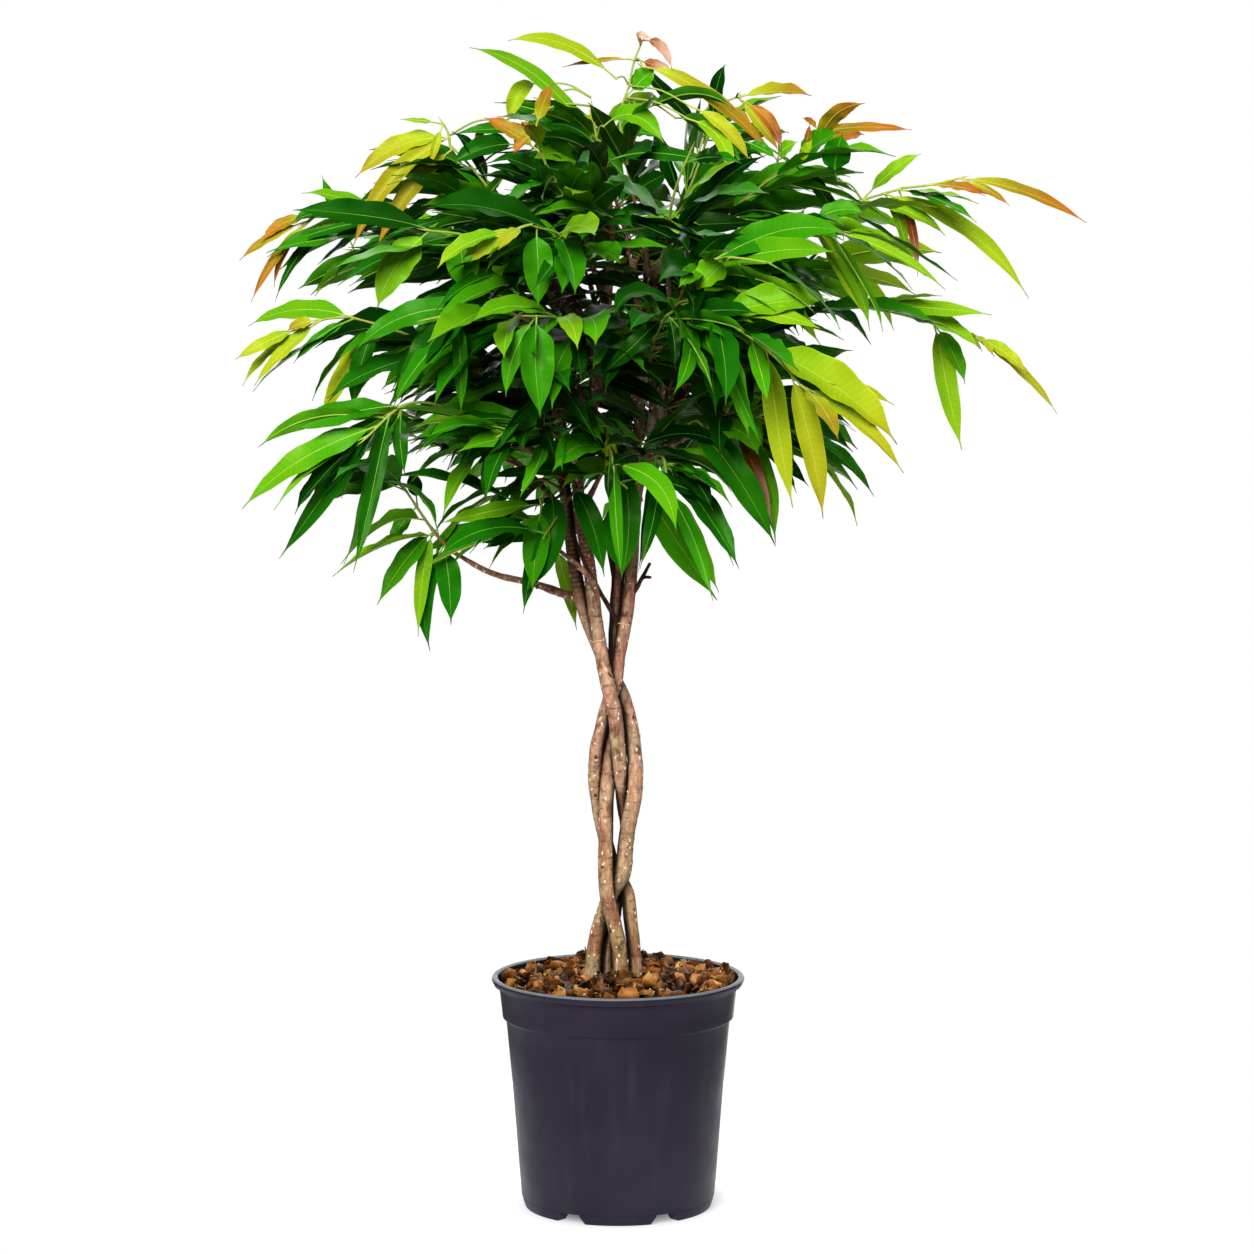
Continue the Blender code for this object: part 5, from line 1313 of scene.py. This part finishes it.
def gap_to_stems(points, others):
    """How far each point is from the surface of the nearest of some stems."""
    gap = np.full(len(points), 1.0)
    for other in others:
        path, _, radius = stem_line(other, CREVICE_STEP)
        squares = (points ** 2).sum(1)[:, None] + (path ** 2).sum(1)[None] - 2 * points @ path.T
        gap = np.minimum(gap, (np.sqrt(np.maximum(squares, 0)) - radius[None]).min(1))
    return gap


def shade_crevices(piece, others):
    """Marks how closed in by the other stems each point of a stem is, for the painted shade in the
    creases.
    """
    found = {}
    for label in ("co", "normal"):
        flat = np.empty(len(piece.data.vertices) * 3, np.float32)
        piece.data.vertices.foreach_get(label, flat)
        found[label] = flat.reshape(-1, 3).astype(float)
    openness = gap_to_stems(found["co"], others) / CREVICE_REACH
    for step in LOOK_OUT:
        ahead = gap_to_stems(found["co"] + found["normal"] * step, others)
        openness = np.minimum(openness, ahead / step)
    depth = (1 - np.clip(openness, 0, 1)) ** 1.4
    layer = piece.data.attributes.new("crevice", "FLOAT", "POINT")
    layer.data.foreach_set("value", depth.astype(np.float32))


for number, name in enumerate(stem_nodes):
    piece = stem_piece(name, np.random.default_rng(40 + number))
    grown(piece, scatter_maker, Seed=number, Bead=pore_pale)
    grown(piece, scatter_maker, Seed=20 + number, Size=2.3 * MM, Spacing=16.0 * MM, Density=2600.0,
          Flatness=0.28, Columns=3.0, Bead=knot_dark)
    shaded(piece, 60)
    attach(piece, "root")
    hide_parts(name)
    tell(piece)

# %% [markdown]
# ## Small wood on the trunk
# A dead stub with a side prong stands on the right stem, a thin dark limb crosses behind the left
# ones, and two pale rings are left where the stems were once tied together.

# %% Stub, crossing limb and tie rings
STUB = [((10, 4, 654), 3.0), ((18, 0, 664), 2.8), ((25, -6, 677), 2.2), ((34, -10, 694), 1.7)]
PRONG = [((25, -6, 677), 2.0), ((29, -9, 679), 1.7), ((35, -12, 679), 1.4)]
CROSSING = [((1, 10, 625), 2.6), ((-8, 2, 643), 2.5), ((-23, -12, 671), 2.3),
            ((-36, -14, 696), 2.1), ((-47, -2, 725), 1.8), ((-54, 6, 748), 1.2)]
RISING = [((-3, 12, 668), 2.4), ((-10, 10, 706), 2.1), ((-16, 8, 730), 2.0), ((-7, 6, 752), 2.0),
          ((-3, 4, 775), 1.8)]
TIES = [("stem_b", 0.612), ("stem_d", 0.628)]


def small_wood(points):
    """A smooth line of weathered wood through (place, radius) points given in millimetres."""
    places = np.array([place for place, _ in points], float) * MM
    path, _, (radius,) = smooth_path(places, 2.0 * MM, [r * MM for _, r in points])
    return path, {"radius": radius, "scar": np.full(len(path), 0.6)}


def tie_ring(stem, height):
    """A closed loop round a stem, and the thickness of the mark."""
    path, _, radius = stem_line(stem, STEM_STEP)
    k = int(np.argmin(np.abs(path[:, 2] - height)))
    axis = unit(path[k + 1] - path[k - 1])
    side = unit(np.cross(axis, [0, 1, 0]))
    other = np.cross(axis, side)
    loop = [path[k] + (side * math.cos(t) + other * math.sin(t)) * (radius[k] + 0.1 * MM)
            for t in np.linspace(0, 2 * math.pi, 33)]
    return np.array(loop), {"radius": np.full(33, 0.65 * MM)}


stub = lines_object("trunk_stub", [small_wood(line) for line in (STUB, PRONG, CROSSING, RISING)])
grown(stub, wood_maker, Sides=12, Roughness=0.5 * MM, Grain=160.0, Wood=bark_dark)
rings = lines_object("tie_marks", [tie_ring(*tie) for tie in TIES])
grown(rings, wood_maker, Sides=8, Roughness=0.15 * MM, Grain=300.0, Wood=tie_pale)
for piece in (stub, rings):
    shaded(piece, 60)
    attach(piece, "root")
    tell(piece)

# %% [markdown]
# ## The nursery pot
# The pot is blow-moulded from charcoal plastic: a tapered wall, a collar below a rolled lip, a flat
# floor with drain holes and six low feet. Its wall is one profile turned round the axis, so the
# mesh is built ring by ring, finer than the CAD model's. The feet are curved blocks under it. The
# inner side carries a mark for painted shade, which darkens it far more than the outside.

# %% Pot sizes and profile, in millimetres
SEGMENTS = 144
FEET = 6
HOLE_SEGMENTS = 6
LIP_CENTRE, LIP_RADIUS = (132.3, 247.0), 3.0


def lip_arc(count):
    """The rolled lip's profile, from its outer side over its top."""
    for step in range(count):
        angle = math.radians(-30 + 150 * step / (count - 1))
        yield (LIP_CENTRE[0] + LIP_RADIUS * math.cos(angle),
               LIP_CENTRE[1] + LIP_RADIUS * math.sin(angle))


POT_PROFILE = [(70, 10), (86, 10), (100.4, 10), (102.6, 10.6), (103.7, 12.4), (106.2, 42),
               (109.2, 82), (113.1, 132), (118.2, 186), (119.8, 203.0), (120.2, 204.4),
               (120.8, 205.2), (123.0, 205.9), (123.7, 206.5), (123.9, 207.6), (124.4, 214),
               (127.0, 236.6), (127.9, 239.0), (130.0, 240.3), (133.0, 241.6), *lip_arc(9),
               (129.2, 249.0), (128.2, 246.4), (126.4, 238.0), (118.4, 205.0), (117.4, 201.0),
               (110.4, 122.0), (102.2, 16.0), (100.4, 12.4), (98.0, 12), (86, 12), (70, 12)]
INNER_START = (128.2, 246.4)
FOOT_TURN = 14
FOOT_LEVELS = [(10.6, 102.9, 86.0, 23.5), (8.0, 102.4, 86.0, 23.2), (1.4, 100.4, 86.6, 20.6),
               (0.3, 99.6, 87.2, 20.2), (0.0, 98.4, 88.0, 19.6)]  # height, outside, inside, degrees


def turns(count):
    """Even steps round the axis."""
    return [2 * math.pi * step / count for step in range(count)]


def ring_of(work, places):
    """New points from radius, angle and height, in millimetres."""
    return [work.verts.new((r * MM * math.cos(a), r * MM * math.sin(a), z * MM))
            for r, a, z in places]


def skin(work, low, high, left_out=()):
    """Faces between two rings."""
    for s in range(len(low)):
        n = (s + 1) % len(low)
        if s not in left_out:
            work.faces.new((low[s], low[n], high[n], high[s]))


def turned_shell():
    """The pot's wall and floor with six drain holes. Its inner side carries a mark for painted
    shade.
    """
    work = bmesh.new()
    inner = work.verts.layers.float.new("inner")
    rings = [ring_of(work, [(r, a, z) for a in turns(SEGMENTS)]) for r, z in POT_PROFILE]
    for ring in rings[POT_PROFILE.index(INNER_START):]:
        for vertex in ring:
            vertex[inner] = 1.0
    period = SEGMENTS // FEET
    first = SEGMENTS * 3 // 4 + period // 2 - HOLE_SEGMENTS // 2
    holes = {(first + period * k + s) % SEGMENTS for k in range(FEET) for s in range(HOLE_SEGMENTS)}
    for low, high in zip(rings, rings[1:]):
        skin(work, low, high, holes if low is rings[0] or high is rings[-1] else ())
    for s in holes:
        n, p = (s + 1) % SEGMENTS, (s - 1) % SEGMENTS
        work.faces.new((rings[0][s], rings[-1][s], rings[-1][n], rings[0][n]))
        work.faces.new((rings[1][n], rings[-2][n], rings[-2][s], rings[1][s]))
        if p not in holes:
            work.faces.new((rings[1][s], rings[-2][s], rings[-1][s], rings[0][s]))
        if n not in holes:
            work.faces.new((rings[0][n], rings[-1][n], rings[-2][n], rings[1][n]))
    work.faces.new(rings[0][::-1])
    work.faces.new(rings[-1])
    return work


def add_foot(work, middle):
    """A curved block under the wall, narrower at its sole."""
    steps = [k / FOOT_TURN for k in range(FOOT_TURN + 1)]
    rows = []
    for z, outer, inner, half in FOOT_LEVELS:
        edge = [(outer, -half + 2 * half * share) for share in steps]
        edge += [(inner, half - 2 * half * share) for share in steps]
        rows.append(ring_of(work, [(r, math.radians(middle + d), z) for r, d in edge]))
    for high, low in zip(rows, rows[1:]):
        for k in range(len(low)):
            n = (k + 1) % len(low)
            work.faces.new((high[k], low[k], low[n], high[n]))
    for row, turn in ((rows[0], 1), (rows[-1], -1)):
        for k in range(FOOT_TURN):
            face = (row[k], row[k + 1], row[-2 - k], row[-1 - k])
            work.faces.new(face[::turn])


def made_piece(name, work, finish):
    """A piece from a bmesh, with one finish."""
    mesh = bpy.data.meshes.new(name)
    bmesh.ops.recalc_face_normals(work, faces=work.faces)
    work.to_mesh(mesh)
    work.free()
    mesh.materials.append(finish)
    return linked(name, mesh)


# %% Pot material and piece


def pot_finish():
    """Satin charcoal plastic with a slight purple cast and pale streaks.
    Painted shade darkens the inside, and a painted highlight runs round the lip's top.
    """
    made, tree, shader = material("pot_plastic", roughness=0.40, specular=0.12)
    colour = blended(tree, patches(tree, 9.0, 4.0, 0.35, 0.65), (0.011, 0.0086, 0.017),
                     (0.017, 0.013, 0.026))
    streak = patches(tree, 60.0, 3.0, 0.55, 0.8, stretch=(1, 1, 0.06))
    colour = tinted(tree, colour, (0.055, 0.050, 0.060), streak, 0.16)
    # painted shade: the pot's inside darkened nearly to black
    colour = tinted(tree, colour, (0.003, 0.002, 0.004), carried(tree, "inner"), 0.8)
    # painted highlight: a pale band round the top of the lip
    lip_highlight = between(tree, height_of(tree), 0.2478, 0.2486)
    colour = tinted(tree, colour, (0.165, 0.180, 0.210), lip_highlight, 0.85)
    gloss = patches(tree, 35.0, 4.0, 0.3, 0.7, 0.36, 0.48)
    tree.links.new(gloss, shader.inputs["Roughness"])
    surface(tree, shader, colour, noise(tree, 900.0, 2.0), 0.12 * MM, 0.5)
    return made


shell = turned_shell()
for k in range(FEET):
    add_foot(shell, -90 + 60 * k)
pot = made_piece("nursery_pot", shell, pot_finish())
shaded(pot, 32)
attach(pot, "root")
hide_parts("pot")
tell(pot)

# %% [markdown]
# ## Soil and mulch
# The compost is hidden, so the CAD solid keeps its shape and only gets a crumbly finish. The mulch
# is bark chipped into curled flakes. A few flakes are modelled by a seeded rule, then scattered
# over a low mound with their own turn, tilt, size and tone. Small pale grains lie between them,
# partly pale bits of bark and partly painted glints.

# %% Soil and mound
MOUND_EDGE, MOUND_RISE, MOUND_FOOT, MOUND_MIDDLE = 237.6, 6.4, 232.0, 8
MOUND_RADIUS, MOUND_SKIRT, MOUND_SIDES, MOUND_RINGS = 124.6, 123.8, 96, 22

compost = plain_finish("compost", [(0.35, (0.010, 0.006, 0.004)), (0.5, (0.035, 0.020, 0.012)),
                                   (0.7, (0.10, 0.055, 0.030))], 300.0, 0.9, 0.001)
for place in nodes_of["soil"].material_slots:
    place.material = compost


def mound_height(radius, angle):
    """How high the heap of bark is, in millimetres."""
    lumps = math.sin(3 * angle + 0.7) * math.sin(radius / 17)
    lumps += 0.7 * math.sin(5 * angle + radius / 11)
    return MOUND_EDGE + MOUND_RISE * (1 - (radius / MOUND_RADIUS) ** 2) + 1.2 * lumps


def mound():
    """A low closed heap of bark under the flakes."""
    work = bmesh.new()
    angles = turns(MOUND_SIDES)
    radii = [MOUND_MIDDLE + (MOUND_RADIUS - MOUND_MIDDLE) * k / MOUND_RINGS
             for k in range(MOUND_RINGS + 1)]
    rings = [ring_of(work, [(r, a, mound_height(r, a)) for a in angles]) for r in radii]
    rings.append(ring_of(work, [(MOUND_SKIRT, a, MOUND_FOOT) for a in angles]))
    for low, high in zip(rings, rings[1:]):
        skin(work, low, high)
    work.faces.new(rings[0])
    work.faces.new(rings[-1])
    return work


# the crumbs show only in the gaps between flakes; their near-black is partly the bark's colour and
# partly painted shade
crumb_and_shade_stops = [(0.30, (0.006, 0.002, 0.001)), (0.5, (0.020, 0.007, 0.003)),
               (0.72, (0.055, 0.020, 0.008))]
mulch = made_piece("mulch_bed", mound(),
                   plain_finish("bark_crumbs", crumb_and_shade_stops, 160.0, 0.85, 1.5 * MM))
shaded(mulch, 60)
tell(mulch)

# %% Bark flakes
FLAKE_KINDS = 8


def flake(number):
    """One curled flake about 2 units long, thick in the middle and ragged at its ends."""
    draw = np.random.default_rng(900 + number)
    work = bmesh.new()
    torn = work.verts.layers.float.new("edge")
    along, across = 7, 4
    curl = draw.uniform(0.35, 0.85) * (-1 if number % 2 else 1)
    bow, slim = draw.uniform(-0.35, 0.15), draw.uniform(0.42, 0.75)
    skew = draw.uniform(-0.25, 0.25)
    sides = []
    for level in (1, -1):
        rows = []
        for i in range(along + 1):
            u = -1 + 2 * i / along
            w = slim * (1 - abs(u) ** 2.6) ** 0.5 + 0.10
            row = []
            for j in range(across + 1):
                v = -1 + 2 * j / across
                edge = max(abs(u), abs(v))
                thick = 0.062 * (1 - 0.5 * edge ** 3) * (1 + 0.2 * draw.normal())
                ragged = 0.10 if abs(u) == 1 else 0.03
                x = u + ragged * draw.normal() + skew * v * 0.3
                y = w * v * (1 + 0.09 * draw.normal())
                z = curl * v * v * slim + bow * u * u + 0.02 * draw.normal() + level * thick
                row.append(work.verts.new((x, y, z)))
            rows.append(row)
        sides.append(rows)
    top, low = sides
    for i in range(along):
        for j in range(across):
            work.faces.new((top[i][j], top[i + 1][j], top[i + 1][j + 1], top[i][j + 1]))
            work.faces.new((low[i][j + 1], low[i + 1][j + 1], low[i + 1][j], low[i][j]))
    rim = [(i, 0) for i in range(along)] + [(along, j) for j in range(across)]
    rim += [(i, across) for i in range(along, 0, -1)] + [(0, j) for j in range(across, 0, -1)]
    for (i, j), (k, m) in zip(rim, rim[1:] + rim[:1]):
        work.faces.new((top[i][j], low[i][j], low[k][m], top[k][m]))
    mesh = bpy.data.meshes.new("flake_%d" % number)
    bmesh.ops.recalc_face_normals(work, faces=work.faces)
    for rows in sides:
        for i, j in rim:
            rows[i][j][torn] = 1.0
    work.to_mesh(mesh)
    work.free()
    mesh.shade_smooth()
    mesh.set_sharp_from_angle(angle=math.radians(40))
    return bpy.data.objects.new("flake_%d" % number, mesh)


flakes = bpy.data.collections.new("flakes")
for number in range(FLAKE_KINDS):
    flakes.objects.link(flake(number))


# %% Finish of the flakes


def flake_finish():
    """Dry bark: every flake its own brown, with pale torn edges and a few mossy ones.
    Low flakes turn near black as painted shade in the gaps.
    """
    made, tree, shader = material("bark_flake", roughness=0.42, specular=0.22)
    tone = maths(tree, "ADD", carried(tree, "tone"), mottle(tree, 110.0, 3.0, 0.5))
    colour = ramp(tree, tone, [(0.0, (0.010, 0.003, 0.001)), (0.30, (0.052, 0.014, 0.003)),
                               (0.56, (0.150, 0.040, 0.007)), (0.78, (0.29, 0.092, 0.016)),
                               (0.92, (0.44, 0.180, 0.040)), (1.0, (0.62, 0.350, 0.120))])
    mossy = darkened(tree, colour, (0.62, 1.05, 0.42))
    colour = tinted(tree, colour, mossy, patches(tree, 26.0, 2.0, 0.56, 0.66, 0.0, 0.55))
    torn = product(tree, carried(tree, "edge"), patches(tree, 240.0, 3.0, 0.4, 0.6))
    colour = tinted(tree, colour, (0.42, 0.190, 0.055), torn, 0.35)
    colour = tinted(tree, colour, (0.05, 0.02, 0.01), patches(tree, 420.0, 4.0, 0.58, 0.72), 0.6)
    # painted shade: flakes low in the heap turn near black, as in the shaded gaps between flakes
    low = between(tree, carried(tree, "height"), 1.5 * MM, 8.5 * MM, 0.98, 0.0)
    colour = tinted(tree, colour, (0.005, 0.002, 0.001), low)
    surface(tree, shader, colour, noise(tree, 380.0, 4.0), 0.6 * MM, 0.8)
    return made


# %% [markdown]
# ## Laying the mulch
# The tree scatters points over the mound with a least distance between them and picks a flake for
# each. Flakes near the wall are kept inside it: a point past the wall's radius is drawn back in,
# as a real flake's end rests against the plastic.

# %% Mulch tree


def mulch_tree():
    """Flakes scattered over a mound, and held inside the pot's wall."""
    tree, given = geometry_tree("mulch", Spacing=7.4 * MM, Density=13000.0, Small=6.5 * MM,
                                Large=16.5 * MM, Tilt=1.25, Lift=2.8 * MM, Reach=125.0 * MM,
                                Seed=3, Flake="", Pale="", **{"Grain Spacing": 5.5 * MM})
    up = parts_of(tree, field(tree, "Normal"))["Z"]
    points = scattered(tree, given["Lines"], given["Spacing"], given["Density"], given["Seed"],
                       {"Selection": maths(tree, "GREATER_THAN", up, 0.5)})
    tilt, back = given["Tilt"], product(tree, given["Tilt"], -1.0)
    turn = node(tree, "FunctionNodeRandomValue", {
        0: vector_of(tree, X=back, Y=back, Z=-math.pi),
        1: vector_of(tree, X=tilt, Y=tilt, Z=math.pi), "Seed": 11},
        data_type="FLOAT_VECTOR").outputs[0]
    pick = node(tree, "FunctionNodeRandomValue", {4: 0, 5: FLAKE_KINDS - 1, "Seed": 13},
                data_type="INT").outputs[2]
    kinds = node(tree, "GeometryNodeCollectionInfo", {
        "Collection": flakes, "Separate Children": True, "Reset Children": True}).outputs[0]
    laid = node(tree, "GeometryNodeInstanceOnPoints", {
        "Points": points["Points"], "Instance": kinds, "Pick Instance": True,
        "Instance Index": pick, "Rotation": turn,
        "Scale": chance(tree, given["Small"], given["Large"], 12)}).outputs[0]
    laid = stored(tree, laid, "tone", chance(tree, 0.0, 1.0, 14), domain="INSTANCE")
    parts = parts_of(tree, field(tree, "Position"))
    laid = stored(tree, laid, "ground", parts["Z"], domain="INSTANCE")
    laid = node(tree, "GeometryNodeRealizeInstances", {"Geometry": laid}).outputs[0]
    out = vectors(tree, "LENGTH", vector_of(tree, X=parts["X"], Y=parts["Y"]))
    held = maths(tree, "MINIMUM", 1.0, maths(tree, "DIVIDE", given["Reach"], out))
    drawn = vector_of(tree, X=product(tree, parts["X"], held), Y=product(tree, parts["Y"], held),
                      Z=maths(tree, "ADD", parts["Z"], given["Lift"]))
    laid = stored(tree, laid, "height", maths(tree, "SUBTRACT", parts["Z"], named(tree, "ground")))
    laid = painted(tree, moved(tree, laid, Position=drawn), given["Flake"])

    # Grains: small pale beads on the flakes' upper faces, partly pale bits and partly painted
    # glints
    spots = scattered(tree, laid, given["Grain Spacing"], 4000.0, 21,
                      {"Selection": maths(tree, "GREATER_THAN", up, 0.6)})
    bead = node(tree, "GeometryNodeMeshIcoSphere", {"Radius": 1.0, "Subdivisions": 1}).outputs[0]
    grains = node(tree, "GeometryNodeInstanceOnPoints", {
        "Points": spots["Points"], "Instance": bead,
        "Scale": chance(tree, 0.4 * MM, 1.3 * MM, 22)}).outputs[0]
    finished(tree, joined(tree, painted(tree, grains, given["Pale"]), laid, given["Lines"]))
    return tree


# %% Lay the flakes
mulch_maker = mulch_tree()
flake_material = flake_finish()
# pale grains: partly bits of bark, partly painted glints
grains_and_glints = plain_finish("pale_grain", [(0.3, (0.50, 0.36, 0.18)), (0.7, (0.85, 0.72, 0.48))],
                          300.0, 0.6, 0.1 * MM)
grown(mulch, mulch_maker, Flake=flake_material, Pale=grains_and_glints)
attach(mulch, "root")
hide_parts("mulch")
tell(mulch)

# %% [markdown]
# ## Floor, light and camera
# A round pale floor glows a little, so it melts into the white behind it. The glow fades out
# towards the pot, so the floor darkens round the pot's foot: a soft painted shadow over the real
# one, tinted by the floor's pale blue-grey, as in a product photograph. A broad, slightly warm sun
# shines from
# the front and upper left, a weak one fills from the right, and a low one behind the tree keeps its
# back readable when the part is turned. The camera looks down a few degrees.

# %% Stage
IMAGE_SIDE, FOCAL_PIXELS, SENSOR, LOOK_DOWN = 1254, 4259, 36, 6.025
PALE = (0.37, 0.39, 0.46, 1.0)
FLOOR_GLOW, FLOOR_RADIUS = 0.95, 0.65
# painted shadow: the glow fades to nothing towards the pot's foot, where the blue-grey PALE shows
GLOW_STARTS, GLOW_FULL = 0.05, 0.145
SKY_LIGHT = 0.12

floor_mesh = bpy.data.meshes.new("floor")
rim = [(FLOOR_RADIUS * math.cos(a), FLOOR_RADIUS * math.sin(a), 0) for a in turns(120)]
floor_mesh.from_pydata(rim, [], [range(120)])
floor = linked("floor", floor_mesh)
floor_finish, tree, shader = material("floor_paper", roughness=0.9, specular=0.1)
shader.inputs["Base Color"].default_value = PALE
shader.inputs["Emission Color"].default_value = (1, 1, 1, 1)
away = vectors(tree, "LENGTH", object_place(tree, (1, 1, 0)))
tree.links.new(between(tree, away, GLOW_STARTS, GLOW_FULL, 0.0, FLOOR_GLOW),
               shader.inputs["Emission Strength"])
floor_mesh.materials.append(floor_finish)

world = bpy.data.worlds.new("studio")
world.use_nodes = True
tree = world.node_tree
tree.nodes.clear()
seen_white = node(tree, "ShaderNodeBackground", {"Color": (1, 1, 1, 1), "Strength": 1.0})
soft_light = node(tree, "ShaderNodeBackground", {"Color": (1, 1, 1, 1), "Strength": SKY_LIGHT})
choice = node(tree, "ShaderNodeMixShader", {
    0: node(tree, "ShaderNodeLightPath").outputs["Is Camera Ray"], 1: soft_light.outputs[0],
    2: seen_white.outputs[0]})
node(tree, "ShaderNodeOutputWorld", {"Surface": choice.outputs[0]})
bpy.context.scene.world = world


def sun(name, strength, angle, direction, colour):
    """A broad sun that shines along a direction."""
    light = bpy.data.lights.new(name, "SUN")
    light.energy = strength
    light.color = colour
    light.angle = math.radians(angle)
    linked(name, light).rotation_euler = Vector(direction).to_track_quat("-Z", "Y").to_euler()


sun("key_light", 4.8, 35, (0.22, 0.85, -0.60), (1.0, 0.965, 0.90))
sun("fill_light", 0.4, 60, (-0.80, 0.60, -0.50), (1.0, 1.0, 1.0))
sun("rear_light", 1.7, 60, (-0.12, -0.97, -0.22), (1.0, 0.99, 0.97))

camera = linked("camera", bpy.data.cameras.new("camera"))
camera.location = EYE
camera.rotation_euler = (math.radians(90 - LOOK_DOWN), 0, 0)
camera.data.lens = FOCAL_PIXELS * SENSOR / IMAGE_SIDE
camera.data.sensor_width = SENSOR
bpy.context.scene.camera = camera
bpy.context.scene.view_settings.view_transform = "Standard"
print("camera lens", round(camera.data.lens, 1), "mm")
